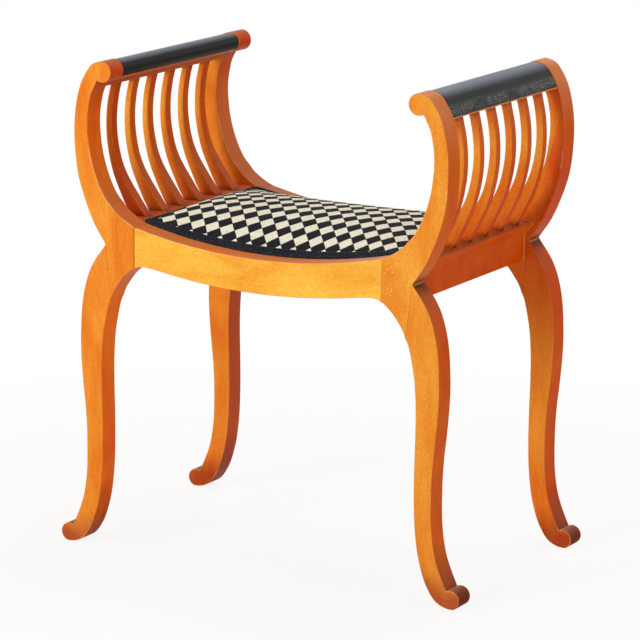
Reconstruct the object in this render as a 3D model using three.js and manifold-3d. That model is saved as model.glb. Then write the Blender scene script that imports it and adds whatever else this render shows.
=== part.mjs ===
// A window stool in stained beech, in millimetres, +Z up, standing on z = 0.
// Two flat frames, front and back, carry everything. In each frame two scrolled arms cross over two
// outswept legs, and a dipping rail joins them. At each end a low rail, six bowed slats and a crest rail
// wrapped in black leathercloth tie the frames together. The padded seat drops in between the rails.

import * as THREE from 'three';
import { mergeVertices } from 'three/addons/utils/BufferGeometryUtils.js';
import Module from 'manifold-3d';

const wasm = await Module();
wasm.setup();

// Overall sizes. A half span is measured from the middle of the stool.
const overallHeight = 680;
const overallDepth = 363.6;
const frameThickness = 32.5;
const armHalfSpan = 288.3;
const shinHalfSpan = 270.6;
const toeHalfSpan = 314.4;

// The front and back rails. The middle of their top sets the height of the seat.
const railTopMiddle = 435.5;
const railTopRise = 22.5;
const railDepth = 46.5;
const railBottomRise = 12.5;
const railJointSetback = 13.5;

// The crossing of arm and leg, seen as a notch in the outline, and the glue line below it.
const notchHalfSpan = 237.8;
const kneeReach = 42;
const notchDrop = 6.5;
const spliceDrop = 74;

// Arms and legs, seen from the front.
const armSection = 21;
const scrollRadius = 14.6;
const scrollSetback = 45.1;
const legSection = 28;
const toeRadius = 13.1;
const toeFlatDepth = 0.6;
const arrisSize = 1.1;

// Clearances.
const jointGap = 0.3;
const overrun = 8;

// Dowels, tongues and tenons.
const railDowelRadius = 5;
const railDowelLength = 36;
const railDowelSpacing = 26;
const endDowelRadius = 4;
const endDowelLength = 32;
const endDowelSpacing = 24;
const tongueWidth = 26;
const tongueLength = 24;
const tongueThickness = 6;
const crestTenonRadius = 4.5;
const crestTenonLength = 14;

// The end rails. Their inner face stands a margin inside the feet of the slats.
const endRailMargin = 4;
const endRailThickness = 28;
const endRailFlare = 11.6;
const endRailFlareHeight = 14.2;
const endRailLip = 5;
const endRailEase = 1.25;
const endRailHeight = 55;

// The slats. Inset and thickness are measured level from the outer line of the arm.
const slatCount = 6;
const slatEndMargin = 35.8;
const slatInset = 10.3;
const slatThickness = 10;
const slatInnerWidth = 15.4;
const slatOuterWidth = 13;
const slatArris = 1.4;
const slatTenonWidth = 9;
const slatTenonDepth = 6;
const slatTenonLength = 8;
const slatTenonRoot = 2;

// The crest rails and their leathercloth. A drop is measured from the top of the stool.
const crestOuterDrop = 34.5;
const crestInnerDrop = 39;
const crestRecess = 1;
const clothThickness = 1.5;
const clothFrontGap = 2;
const clothBackGap = 0.5;
const clothEndAngle = 220;

// The seat. The pad's edge stands a little above the rails.
const seatClearance = 0.6;
const seatCornerRadius = 7;
const padEdgeStand = 1.5;
const padCornerStand = 3;
const padEdgeThickness = 9.5;
const padEndSag = 3.7;
const padCrownHeight = 39.8;
const padCrownRise = 1.5;
const padDrawIn = 2;
const braidWidth = 11.5;
const braidThickness = 1.6;
const braidStand = 0.5;
const boardThickness = 12;
const boardClearance = 2;
const blockLeg = 42;
const blockHeight = 14;
const screwRadius = 2;
const screwHeadRadius = 4;
const screwHeadHeight = 2.4;
const screwLength = 22;

const halfDepth = overallDepth / 2;
const clearHalfDepth = halfDepth - frameThickness;
const railTopAtJoint = railTopMiddle + railTopRise;
const railBottomMiddle = railTopMiddle - railDepth;
const notchHeight = railTopMiddle - notchDrop;
const spliceFootHeight = notchHeight - spliceDrop;
const armRise = overallHeight - notchHeight;
const scrollHalfSpan = armHalfSpan - scrollSetback;
const endRailTop = railTopAtJoint;
const endRailBottom = endRailTop - endRailHeight;
const slatPitch = 2 * (clearHalfDepth - slatEndMargin) / (slatCount - 1);
const crestOuterHeight = overallHeight - crestOuterDrop;
const crestInnerHeight = overallHeight - crestInnerDrop;
const padEdgeMiddle = railTopMiddle + padEdgeStand;
const padEdgeCorner = railTopAtJoint + padCornerStand;
const padCrown = padEdgeMiddle + padCrownHeight;
const padBottom = padEdgeMiddle - padEdgeThickness;
const boardTop = padBottom - jointGap;
const boardBottom = boardTop - boardThickness;
const blockTop = boardBottom - jointGap;
const blockBottom = blockTop - blockHeight;
const crestInset = crestRecess + clothThickness + jointGap;

// Steps along each curve.
const armSteps = 22;
const legOuterSteps = 32;
const legInnerSteps = 28;
const railSteps = 7;
const toeSteps = 8;
const scrollSteps = 11;
const clothSteps = 8;
const bareScrollSteps = 5;
const lipSteps = 4;
const easeSteps = 2;
const pinSides = 10;
const seatCornerSteps = 2;
const seatLengthSteps = 16;
const seatWidthSteps = 10;

// Outline tables, as shares chosen by eye. Rows run from the notch outwards.
// Outer line of the arm: reach from notch to widest point, rise from notch to top.
const armOuterShares = [[0, 0], [0.416, 0.1235], [0.772, 0.2932], [0.935, 0.4223], [1, 0.59]];
// Above the widest point: reach from the scroll's centre to the widest point, rise from notch to top.
const armUpperShares = [[0.953, 0.7291], [0.772, 0.8625], [0.49, 0.952], [0.284, 0.986]];
// Inner line of the arm: rise, and width behind the outer line in arm sections.
const armInnerShares = [
  [0.8645, 1.11], [0.825, 1.02], [0.785, 0.99], [0.705, 0.98], [0.6215, 1.02], [0.538, 1.105],
  [0.458, 1.21], [0.3466, 1.42], [0.255, 1.66],
];
// The bowl from the arm down to the rail: share of the way across and up.
const bowlShares = [[0.837, 0.786], [0.689, 0.549], [0.5, 0.36], [0.307, 0.2]];
// Outer line of the leg: height, and reach from notch to knee.
const kneeShares = [[0.943, 0.45], [0.888, 0.722], [0.8065, 0.922], [0.7, 1], [0.62, 0.985]];
// Outer line of the shin: height, and reach from shin to toe.
const shinShares = [
  [0.525, 0.12], [0.465, 0.055], [0.385, 0.004], [0.285, 0], [0.233, 0.03], [0.196, 0.078],
  [0.163, 0.142], [0.14, 0.208], [0.1166, 0.292], [0.0932, 0.39], [0.0723, 0.486],
];
// Inner line of the leg: height, and width behind the outer line in leg sections.
const legInnerShares = [
  [0.802, 1.52], [0.753, 1.415], [0.704, 1.32], [0.629, 1.22], [0.536, 1.1], [0.42, 0.97],
  [0.326, 0.925], [0.252, 0.9], [0.177, 0.92], [0.127, 0.97], [0.0816, 1.04],
];
// The shoulder from the rail's lower edge to the inner line of the leg: share of the way across and up.
const shoulderStartShare = 0.794;
const shoulderShares = [[0.293, 1.045], [0.47, 1], [0.61, 0.861], [0.727, 0.696], [0.894, 0.355]];
// The sole, from the inner line of the leg to the toe, in toe radii from the toe's centre.
const soleShares = [[-2.63, 0.81], [-2.13, 0.05], [-1.37, -0.63]];
const scrollCornerAngle = -58.8;
const toeValleyAngle = 118;

// The slats: rise from the end rail to the crest rail, then inset and thickness.
const slatShares = [
  [0, 1.9, 2.88], [0.065, 1.81, 2.58], [0.153, 1.68, 2.17], [0.23, 1.53, 1.82], [0.317, 1.39, 1.46],
  [0.404, 1.26, 1.23], [0.492, 1.13, 1.14], [0.579, 1.03, 1.09], [0.695, 1, 1.01], [0.831, 1, 1],
  [0.956, 1, 0.97], [1, 1, 0.98],
];
// The pad's rise from its edge: powers of its curve across and along, and rings from braid to middle.
const padAcrossPower = 2.4;
const padAlongPower = 6;
const padRingShares = [1, 0.94, 0.87, 0.76, 0.62, 0.44, 0.22];
const screwPlaceShare = 0.34;

const beech = new THREE.MeshStandardMaterial({ color: 0xe08a2e, roughness: 0.42 });
const beechDark = new THREE.MeshStandardMaterial({ color: 0xb4521c, roughness: 0.45 });
const bareBeech = new THREE.MeshStandardMaterial({ color: 0xd9b27c, roughness: 0.7 });
const leathercloth = new THREE.MeshStandardMaterial({ color: 0x1b1c1f, roughness: 0.5 });
const checkFabric = new THREE.MeshStandardMaterial({ color: 0xd8d6bd, roughness: 0.95 });
const blackBraid = new THREE.MeshStandardMaterial({ color: 0x14151a, roughness: 0.95 });
const plywood = new THREE.MeshStandardMaterial({ color: 0xc9a36a, roughness: 0.8 });
const zincSteel = new THREE.MeshStandardMaterial({ color: 0xb9bcc0, roughness: 0.4, metalness: 0.9 });

const stool = new THREE.Group();

const sides = [{ name: 'right', sign: 1 }, { name: 'left', sign: -1 }];
const frames = [
  { name: 'front', fromY: -halfDepth, innerFace: -clearHalfDepth },
  { name: 'back', fromY: clearHalfDepth, innerFace: clearHalfDepth },
];

// Outlines. A point is a Vector2 of reach from the middle and height.
function point(x, z) {
  return new THREE.Vector2(x, z);
}

function smooth(points, count) {
  return new THREE.SplineCurve(points).getPoints(count);
}

function arc(centre, radius, fromDegrees, toDegrees, count) {
  const points = [];
  for (let i = 0; i <= count; i += 1) {
    const angle = THREE.MathUtils.degToRad(THREE.MathUtils.lerp(fromDegrees, toDegrees, i / count));
    points.push(point(centre.x + radius * Math.cos(angle), centre.y + radius * Math.sin(angle)));
  }
  return points;
}

function onCircle(centre, radius, degrees) {
  return arc(centre, radius, degrees, degrees, 1)[0];
}

function reachAt(line, height) {
  for (let i = 1; i < line.length; i += 1) {
    const low = line[i - 1].y < line[i].y ? line[i - 1] : line[i];
    const high = low === line[i] ? line[i - 1] : line[i];
    if (height >= low.y && height <= high.y) {
      return THREE.MathUtils.mapLinear(height, low.y, high.y, low.x, high.x);
    }
  }
  return line[line.length - 1].x;
}

function between(from, to, shares) {
  return shares.map(([across, up]) => point(
    THREE.MathUtils.lerp(from.x, to.x, across),
    THREE.MathUtils.lerp(from.y, to.y, up),
  ));
}

function parabola(middle, end, halfSpan, x) {
  return middle + (end - middle) * (x / halfSpan) ** 2;
}

function curvePoints(height, fromX, toX, count) {
  const points = [];
  for (let i = 0; i <= count; i += 1) {
    const x = THREE.MathUtils.lerp(fromX, toX, i / count);
    points.push(point(x, height(x)));
  }
  return points;
}

// The right half of a frame's outline.
const notch = point(notchHalfSpan, notchHeight);
const scrollCentre = point(scrollHalfSpan, overallHeight - scrollRadius);
const toeCentre = point(toeHalfSpan - toeRadius, toeRadius - toeFlatDepth);
const toeFlatHalfWidth = Math.sqrt(toeRadius ** 2 - toeCentre.y ** 2);
const armOuter = armOuterLine(armSteps);

// Slats are lofted through level sections. The first stands on the end rail, the last meets the crest rail.
const slatStations = slatShares.map(([rise, inset, thickness]) => {
  const height = THREE.MathUtils.lerp(endRailTop, crestInnerHeight, rise);
  const outer = reachAt(armOuter, height) - slatInset * inset;
  return { height, outer, inner: outer - slatThickness * thickness };
});
const footStation = slatStations[0];
const headStation = slatStations[slatStations.length - 1];

const endRailInner = footStation.inner - endRailMargin;
const endRailOuter = endRailInner + endRailThickness;
const railJointHalfSpan = endRailInner - railJointSetback;
const shoulderReach = railJointHalfSpan * shoulderStartShare;

function railTop(x) {
  return parabola(railTopMiddle, railTopAtJoint, railJointHalfSpan, x);
}

function railBottom(x) {
  return parabola(railBottomMiddle, railBottomMiddle + railBottomRise, shoulderReach, x);
}

function armOuterLine(count) {
  const stretch = (fromReach, shares) => shares.map(([reach, rise]) => point(
    THREE.MathUtils.lerp(fromReach, armHalfSpan, reach),
    notchHeight + armRise * rise,
  ));
  const lower = stretch(notchHalfSpan, armOuterShares);
  const upper = stretch(scrollHalfSpan, armUpperShares);
  return smooth([...lower, ...upper, point(scrollHalfSpan, overallHeight)], count);
}

function armInnerLine(outer, count) {
  const upper = armInnerShares.map(([rise, width]) => {
    const height = notchHeight + armRise * rise;
    return point(reachAt(outer, height) - armSection * width, height);
  });
  const railEnd = point(railJointHalfSpan, railTopAtJoint);
  const bowl = between(railEnd, upper[upper.length - 1], bowlShares);
  const scrollCorner = onCircle(scrollCentre, scrollRadius, scrollCornerAngle);
  return smooth([scrollCorner, ...upper, ...bowl, railEnd], count);
}

function legOuterLine(count) {
  const knee = kneeShares.map(([height, reach]) => point(
    notchHalfSpan + kneeReach * reach,
    notchHeight * height,
  ));
  const shin = shinShares.map(([height, reach]) => point(
    THREE.MathUtils.lerp(shinHalfSpan, toeHalfSpan, reach),
    notchHeight * height,
  ));
  return smooth([notch, ...knee, ...shin, onCircle(toeCentre, toeRadius, toeValleyAngle)], count);
}

function legInnerLine(outer, count) {
  const straight = legInnerShares.map(([height, width]) => {
    const level = notchHeight * height;
    return point(reachAt(outer, level) - legSection * width, level);
  });
  const start = point(shoulderReach, railBottom(shoulderReach));
  const shoulder = shoulderShares.map(([across, up]) => point(
    THREE.MathUtils.lerp(start.x, straight[0].x, across),
    THREE.MathUtils.lerp(straight[0].y, start.y, up),
  ));
  const sole = soleShares.map(([x, z]) => point(toeCentre.x + toeRadius * x, toeCentre.y + toeRadius * z));
  return smooth([start, ...shoulder, ...straight, ...sole, point(toeCentre.x - toeFlatHalfWidth, 0)], count);
}

const armInner = armInnerLine(armOuter, armSteps);
const legOuter = legOuterLine(legOuterSteps);
const legInner = legInnerLine(legOuter, legInnerSteps);

function frameOutline() {
  const toeStart = THREE.MathUtils.radToDeg(Math.atan2(-toeCentre.y, toeFlatHalfWidth));
  const half = [
    ...curvePoints(railBottom, 0, shoulderReach, railSteps).slice(0, -1),
    ...legInner,
    ...arc(toeCentre, toeRadius, toeStart, toeValleyAngle, toeSteps).slice(0, -1),
    ...[...legOuter].reverse(),
    ...armOuter.slice(1),
    ...arc(scrollCentre, scrollRadius, 90, 360 + scrollCornerAngle, scrollSteps).slice(1, -1),
    ...armInner.slice(0, -1),
    ...curvePoints(railTop, railJointHalfSpan, 0, railSteps),
  ];
  const otherHalf = half.slice(1, -1).map((p) => point(-p.x, p.y)).reverse();
  return [...half, ...otherHalf];
}

// Solids and booleans.
function solid(geometry) {
  const bare = geometry.clone();
  bare.deleteAttribute('normal');
  bare.deleteAttribute('uv');
  const merged = mergeVertices(bare);
  return new wasm.Manifold(new wasm.Mesh({
    numProp: 3,
    vertProperties: new Float32Array(merged.attributes.position.array),
    triVerts: new Uint32Array(merged.index.array),
  }));
}

function geometryOf(body) {
  const mesh = body.getMesh();
  const geometry = new THREE.BufferGeometry();
  geometry.setAttribute('position', new THREE.BufferAttribute(new Float32Array(mesh.vertProperties), 3));
  geometry.setIndex(new THREE.BufferAttribute(new Uint32Array(mesh.triVerts), 1));
  const faceted = geometry.toNonIndexed();
  faceted.computeVertexNormals();
  return faceted;
}

// An outline in reach and height, made solid between two depths.
function slab(points, fromY, toY, arris = 0) {
  const geometry = new THREE.ExtrudeGeometry(new THREE.Shape(points), {
    depth: toY - fromY - 2 * arris,
    bevelEnabled: arris > 0,
    bevelThickness: arris,
    bevelSize: arris,
    bevelOffset: -arris,
    bevelSegments: 1,
  });
  geometry.rotateX(Math.PI / 2);
  geometry.translate(0, toY - arris, 0);
  return geometry;
}

function pinAlongX(radius, length, x, y, z) {
  return new THREE.CylinderGeometry(radius, radius, length, pinSides).rotateZ(Math.PI / 2).translate(x, y, z);
}

function pinAlongY(radius, length, x, y, z) {
  return new THREE.CylinderGeometry(radius, radius, length, pinSides).translate(x, y, z);
}

function onSide(body, side) {
  return side.sign > 0 ? body : body.mirror([1, 0, 0]);
}

function add(name, geometry, material) {
  const mesh = new THREE.Mesh(geometry, material);
  mesh.name = name;
  stool.add(mesh);
}

// The glue line runs from the notch down to the inner line of the leg.
const spliceFoot = point(reachAt(legInner, spliceFootHeight), spliceFootHeight);
const spliceLine = notch.clone().sub(spliceFoot);
const spliceDirection = spliceLine.clone().normalize();

function splicePoint(share, sideways) {
  const along = spliceFoot.clone().addScaledVector(spliceLine, share);
  return along.add(point(spliceDirection.y, -spliceDirection.x).multiplyScalar(sideways));
}

// Regions that part a frame into its boards, each half a joint gap clear of the next.
function armRegion() {
  const half = jointGap / 2;
  const foot = splicePoint(-overrun / spliceLine.length(), -half);
  return [
    point(railJointHalfSpan + half, foot.y),
    foot,
    splicePoint(1, -half),
    point(notchHalfSpan + jointGap, notchHeight),
    point(armHalfSpan + overrun, notchHeight),
    point(armHalfSpan + overrun, overallHeight + overrun),
    point(railJointHalfSpan + half, overallHeight + overrun),
  ];
}

function legRegion() {
  const half = jointGap / 2;
  const foot = splicePoint(-overrun / spliceLine.length(), half);
  return [
    foot,
    point(railJointHalfSpan, foot.y),
    point(railJointHalfSpan, -overrun),
    point(toeHalfSpan + overrun, -overrun),
    point(toeHalfSpan + overrun, notchHeight - jointGap),
    splicePoint(1, half),
  ];
}

function railRegion() {
  const reach = railJointHalfSpan - jointGap / 2;
  return [
    point(-reach, -overrun),
    point(reach, -overrun),
    point(reach, overallHeight + overrun),
    point(-reach, overallHeight + overrun),
  ];
}

// Places of the loose joint pieces, for the right side.
const railJointMiddle = (railTopAtJoint + railBottomMiddle + railBottomRise) / 2;
const railDowelHeights = [railJointMiddle + railDowelSpacing / 2, railJointMiddle - railDowelSpacing / 2];
const endDowelReach = endRailInner + endRailThickness / 2;
const endDowelMiddle = endRailTop - endRailHeight / 2;
const endDowelHeights = [endDowelMiddle + endDowelSpacing / 2, endDowelMiddle - endDowelSpacing / 2];
const tongueCentre = splicePoint(0.5, 0);

function spliceTongue(clearance, midY) {
  const tilt = Math.atan2(spliceDirection.x, spliceDirection.y);
  const length = tongueLength + 2 * clearance;
  const thickness = tongueThickness + 2 * clearance;
  const width = tongueWidth + 2 * clearance;
  return new THREE.BoxGeometry(length, thickness, width)
    .rotateY(tilt)
    .translate(tongueCentre.x, midY, tongueCentre.y);
}

function railDowel(clearance, side, midY, height) {
  const x = side.sign * railJointHalfSpan;
  return pinAlongX(railDowelRadius + clearance, railDowelLength + 2 * clearance, x, midY, height);
}

function endDowel(clearance, side, faceY, height) {
  const x = side.sign * endDowelReach;
  return pinAlongY(endDowelRadius + clearance, endDowelLength + 2 * clearance, x, faceY, height);
}

function crestTenon(clearance) {
  const length = 2 * (clearHalfDepth + crestTenonLength + clearance);
  return pinAlongY(crestTenonRadius + clearance, length, scrollCentre.x, 0, scrollCentre.y);
}

// A frame is drilled and slotted for its joint pieces, then parted into its boards.
function buildFrame(frame) {
  const toY = frame.fromY + frameThickness;
  const midY = frame.fromY + frameThickness / 2;
  const right = sides[0];
  const holes = [
    spliceTongue(jointGap, midY),
    crestTenon(jointGap),
    ...railDowelHeights.map((height) => railDowel(jointGap, right, midY, height)),
    ...endDowelHeights.map((height) => endDowel(jointGap, right, frame.innerFace, height)),
  ];
  let whole = solid(slab(frameOutline(), frame.fromY, toY, arrisSize));
  holes.map(solid).forEach((hole) => {
    whole = whole.subtract(hole).subtract(onSide(hole, sides[1]));
  });
  const within = (points) => whole.intersect(solid(slab(points, frame.fromY - overrun, toY + overrun)));
  const arm = within(armRegion());
  const leg = within(legRegion());

  add(`${frame.name}_rail`, geometryOf(within(railRegion())), beech);
  sides.forEach((side) => {
    const place = `${frame.name}_${side.name}`;
    const tongue = solid(spliceTongue(0, midY));
    add(`${place}_arm`, geometryOf(onSide(arm, side)), beech);
    add(`${place}_leg`, geometryOf(onSide(leg, side)), beech);
    add(`${place}_splice_tongue`, geometryOf(onSide(tongue, side)), bareBeech);
    railDowelHeights.forEach((height, index) => {
      add(`${place}_rail_dowel_${index + 1}`, railDowel(0, side, midY, height), bareBeech);
    });
    endDowelHeights.forEach((height, index) => {
      add(`${place}_end_dowel_${index + 1}`, endDowel(0, side, frame.innerFace, height), bareBeech);
    });
  });
}

// Rings of points, each joined to the next by a wall of triangles.
function wallIndex(count, ringCount) {
  const index = [];
  for (let r = 0; r + 1 < ringCount; r += 1) {
    for (let i = 0; i < count; i += 1) {
      const a = r * count + i;
      const b = r * count + ((i + 1) % count);
      index.push(a, b, a + count, b, b + count, a + count);
    }
  }
  return index;
}

function indexed(positions, index) {
  const geometry = new THREE.BufferGeometry();
  geometry.setAttribute('position', new THREE.Float32BufferAttribute(positions, 3));
  geometry.setIndex(index);
  return geometry;
}

function loft(rings) {
  const count = rings[0].length;
  const index = wallIndex(count, rings.length);
  const last = (rings.length - 1) * count;
  for (let i = 1; i + 1 < count; i += 1) {
    index.push(0, i + 1, i, last, last + i, last + i + 1);
  }
  return indexed(rings.flat(2), index);
}

const crestUnderOuter = crestLine(crestInset)[0];
const crestUnderInner = point(reachAt(armInner, crestInnerHeight) + crestRecess, crestInnerHeight);

function crestUnderside(x) {
  return THREE.MathUtils.mapLinear(
    x,
    crestUnderInner.x,
    crestUnderOuter.x,
    crestUnderInner.y,
    crestUnderOuter.y,
  );
}

function slatRing(station, y, height) {
  const inner = slatInnerWidth / 2;
  const outer = slatOuterWidth / 2;
  const corners = [
    [station.inner + slatArris, inner],
    [station.inner, inner - slatArris],
    [station.inner, slatArris - inner],
    [station.inner + slatArris, -inner],
    [station.outer - slatArris, -outer],
    [station.outer, slatArris - outer],
    [station.outer, outer - slatArris],
    [station.outer - slatArris, outer],
  ];
  return corners.map(([x, across]) => [x, y + across, height(x)]);
}

function slatBody(y) {
  return solid(loft([
    slatRing(footStation, y, () => endRailTop + jointGap),
    ...slatStations.slice(1, -1).map((station) => slatRing(station, y, () => station.height)),
    slatRing(headStation, y, (x) => crestUnderside(x) - jointGap),
  ]));
}

// A tenon, or with a clearance its mortise. It starts inside the slat and points up or down.
function slatTenon(x, y, z, direction, clearance) {
  const height = slatTenonRoot + slatTenonLength + clearance;
  const box = new THREE.BoxGeometry(slatTenonDepth + 2 * clearance, slatTenonWidth + 2 * clearance, height);
  return solid(box.translate(x, y, z + direction * (height / 2 - slatTenonRoot)));
}

function footTenon(y, clearance) {
  return slatTenon((footStation.inner + footStation.outer) / 2, y, endRailTop, -1, clearance);
}

function headTenon(y, clearance) {
  const x = (headStation.inner + headStation.outer) / 2;
  return slatTenon(x, y, crestUnderside(x), 1, clearance);
}

function endRailProfile() {
  const lipCentre = point(endRailOuter + endRailFlare - endRailLip, endRailTop - endRailLip);
  const easeCentre = point(endRailInner + endRailEase, endRailTop - endRailEase);
  return [
    point(endRailInner, endRailBottom),
    point(endRailOuter, endRailBottom),
    point(endRailOuter, lipCentre.y - endRailFlareHeight),
    ...arc(lipCentre, endRailLip, 0, 90, lipSteps),
    ...arc(easeCentre, endRailEase, 90, 180, easeSteps),
  ];
}

// The crest rail follows the scroll of the arms, and is thinner under the leathercloth.
function crestLine(inset) {
  const outer = [point(reachAt(armOuter, crestOuterHeight), crestOuterHeight)];
  outer.push(...armOuter.filter((p) => p.y > crestOuterHeight + clothThickness));
  const lowered = outer.map((p, i) => {
    const before = outer[Math.max(i - 1, 0)];
    const after = outer[Math.min(i + 1, outer.length - 1)];
    const along = after.clone().sub(before).normalize();
    return point(p.x - along.y * inset, p.y + along.x * inset);
  });
  const scroll = arc(scrollCentre, scrollRadius - inset, 90, clothEndAngle, clothSteps);
  return [...lowered.slice(0, -1), ...scroll];
}

function crestProfile() {
  const bareRadius = scrollRadius - crestRecess;
  const bareStart = clothEndAngle + THREE.MathUtils.radToDeg(2 * jointGap / bareRadius);
  const bareArc = arc(scrollCentre, bareRadius, bareStart, 360 + scrollCornerAngle, bareScrollSteps);
  const innerFace = armInner.filter((p, i) => i > 0 && p.y > crestInnerHeight);
  return [
    ...crestLine(crestInset),
    ...bareArc,
    ...innerFace.map((p) => point(p.x + crestRecess, p.y)),
    crestUnderInner,
  ];
}

function clothProfile() {
  return [...crestLine(crestRecess), ...crestLine(crestRecess + clothThickness).reverse()];
}

function buildEnds() {
  const reach = clearHalfDepth - jointGap;
  let endRail = solid(slab(endRailProfile(), -reach, reach));
  frames.forEach((frame) => {
    endDowelHeights.forEach((height) => {
      endRail = endRail.subtract(solid(endDowel(jointGap, sides[0], frame.innerFace, height)));
    });
  });
  const cloth = solid(slab(clothProfile(), clothFrontGap - clearHalfDepth, clearHalfDepth - clothBackGap));
  let crest = solid(slab(crestProfile(), -reach, reach)).add(solid(crestTenon(0)));

  const slats = [];
  for (let i = 0; i < slatCount; i += 1) {
    const y = (i - (slatCount - 1) / 2) * slatPitch;
    endRail = endRail.subtract(footTenon(y, jointGap));
    crest = crest.subtract(headTenon(y, jointGap));
    slats.push(slatBody(y).add(footTenon(y, 0)).add(headTenon(y, 0)));
  }

  sides.forEach((side) => {
    add(`${side.name}_end_rail`, geometryOf(onSide(endRail, side)), beechDark);
    add(`${side.name}_crest_rail`, geometryOf(onSide(crest, side)), beechDark);
    add(`${side.name}_crest_cloth`, geometryOf(onSide(cloth, side)), leathercloth);
    slats.forEach((slat, index) => {
      add(`${side.name}_slat_${index + 1}`, geometryOf(onSide(slat, side)), beechDark);
    });
  });
}

// The seat is a crowned pad on a board, edged with flat braid. Its edge dips with the rails.
const seatHalfLength = endRailInner - seatClearance;
const seatHalfWidth = clearHalfDepth - seatClearance;

function padSurface(x, y) {
  const along = Math.abs(x / seatHalfLength);
  const across = Math.abs(y / seatHalfWidth);
  const longEdge = parabola(padEdgeMiddle, padEdgeCorner, seatHalfLength, x);
  const endSag = padEndSag * (1 - across ** 2) * along ** 2;
  const crown = parabola(padCrown, padCrown + padCrownRise, seatHalfLength, x) - longEdge;
  return longEdge - endSag + crown * (1 - across ** padAcrossPower) * (1 - along ** padAlongPower);
}

function seatRing(inset) {
  const length = seatHalfLength - inset - seatCornerRadius;
  const width = seatHalfWidth - inset - seatCornerRadius;
  const corners = [[1, 1], [-1, 1], [-1, -1], [1, -1]].map(([signX, signY], i) => {
    const centre = point(signX * length, signY * width);
    return arc(centre, seatCornerRadius, 90 * i, 90 * (i + 1), seatCornerSteps);
  });
  return corners.flatMap((corner, i) => {
    const from = corner[corner.length - 1];
    const to = corners[(i + 1) % corners.length][0];
    const steps = i % 2 === 0 ? seatLengthSteps : seatWidthSteps;
    const edge = [];
    for (let k = 1; k < steps; k += 1) {
      edge.push(from.clone().lerp(to, k / steps));
    }
    return [...corner, ...edge];
  });
}

function raise(ring, height) {
  return ring.map((p) => [p.x, p.y, height(p.x, p.y)]);
}

// The braid lies in a rebate of the pad. With a clearance this is the rebate.
function braidBand(clearance) {
  const outer = seatRing(-clearance);
  const inner = seatRing(braidWidth + clearance);
  const under = (x, y) => padSurface(x, y) - braidThickness - clearance;
  const over = (x, y) => padSurface(x, y) + braidStand + clearance;
  const band = [
    raise(inner, under),
    raise(outer, under),
    raise(outer, over),
    raise(inner, over),
    raise(inner, under),
  ];
  return solid(indexed(band.flat(2), wallIndex(outer.length, band.length)));
}

function drawIn(p) {
  const bulgeX = Math.cos((p.y / seatHalfWidth) * (Math.PI / 2));
  const bulgeY = Math.cos((p.x / seatHalfLength) * (Math.PI / 2));
  return point(p.x - Math.sign(p.x) * padDrawIn * bulgeX, p.y - Math.sign(p.y) * padDrawIn * bulgeY);
}

function buildPad() {
  const edge = seatRing(jointGap);
  const inner = seatRing(braidWidth);
  const rings = [
    raise(edge, () => padBottom),
    raise(edge.map(drawIn), (x, y) => (padBottom + padSurface(x, y)) / 2),
    raise(edge, padSurface),
    ...padRingShares.map((share) => raise(inner.map((p) => p.clone().multiplyScalar(share)), padSurface)),
  ];
  const count = edge.length;
  const index = wallIndex(count, rings.length);
  const lastRing = (rings.length - 1) * count;
  const bottomMiddle = rings.length * count;
  const topMiddle = bottomMiddle + 1;
  for (let i = 0; i < count; i += 1) {
    const next = (i + 1) % count;
    index.push(bottomMiddle, next, i, topMiddle, lastRing + i, lastRing + next);
  }
  const middles = [0, 0, padBottom, 0, 0, padSurface(0, 0)];
  const whole = solid(indexed([...rings.flat(2), ...middles], index));
  add('seat_pad', geometryOf(whole.subtract(braidBand(jointGap))), checkFabric);
  add('seat_braid', geometryOf(braidBand(0)), blackBraid);
}

function seatScrew(clearance, x, y) {
  const head = screwHeadRadius + clearance;
  const shank = screwRadius + clearance;
  const profile = [
    point(0, -clearance),
    point(head, -clearance),
    point(head, 0),
    point(shank, screwHeadHeight),
    point(shank, screwLength + clearance),
    point(0, screwLength + clearance),
  ];
  const screw = new THREE.LatheGeometry(profile, pinSides).rotateX(Math.PI / 2);
  return mergeVertices(screw.translate(x, y, blockBottom));
}

// The board rests on four glued corner blocks, and a screw through each block holds it down.
function buildSeatSupport() {
  const length = 2 * (endRailInner - boardClearance);
  const width = 2 * (clearHalfDepth - boardClearance);
  const sheet = new THREE.BoxGeometry(length, width, boardThickness);
  let seatBoard = solid(sheet.translate(0, 0, boardTop - boardThickness / 2));
  frames.forEach((frame) => {
    sides.forEach((side) => {
      const place = `${frame.name}_${side.name}`;
      const signY = Math.sign(frame.innerFace);
      const cornerX = side.sign * (endRailInner - jointGap);
      const cornerY = signY * (clearHalfDepth - jointGap);
      const outline = new THREE.Shape([
        point(cornerX, cornerY),
        point(cornerX - side.sign * blockLeg, cornerY),
        point(cornerX, cornerY - signY * blockLeg),
      ]);
      const prism = new THREE.ExtrudeGeometry(outline, { depth: blockHeight, bevelEnabled: false });
      const screwX = cornerX - side.sign * blockLeg * screwPlaceShare;
      const screwY = cornerY - signY * blockLeg * screwPlaceShare;
      const hole = solid(seatScrew(jointGap, screwX, screwY));
      const block = solid(prism.translate(0, 0, blockBottom)).subtract(hole);
      seatBoard = seatBoard.subtract(hole);
      add(`${place}_corner_block`, geometryOf(block), bareBeech);
      add(`${place}_seat_screw`, seatScrew(0, screwX, screwY), zincSteel);
    });
  });
  add('seat_board', geometryOf(seatBoard), plywood);
}

frames.forEach(buildFrame);
buildEnds();
buildPad();
buildSeatSupport();

export default stool;
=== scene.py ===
"""The looks of a window stool in stained wood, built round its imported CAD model. Units are metres."""

import math
from collections import Counter

import bpy
import numpy as np
from mathutils import Matrix, Vector


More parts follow.
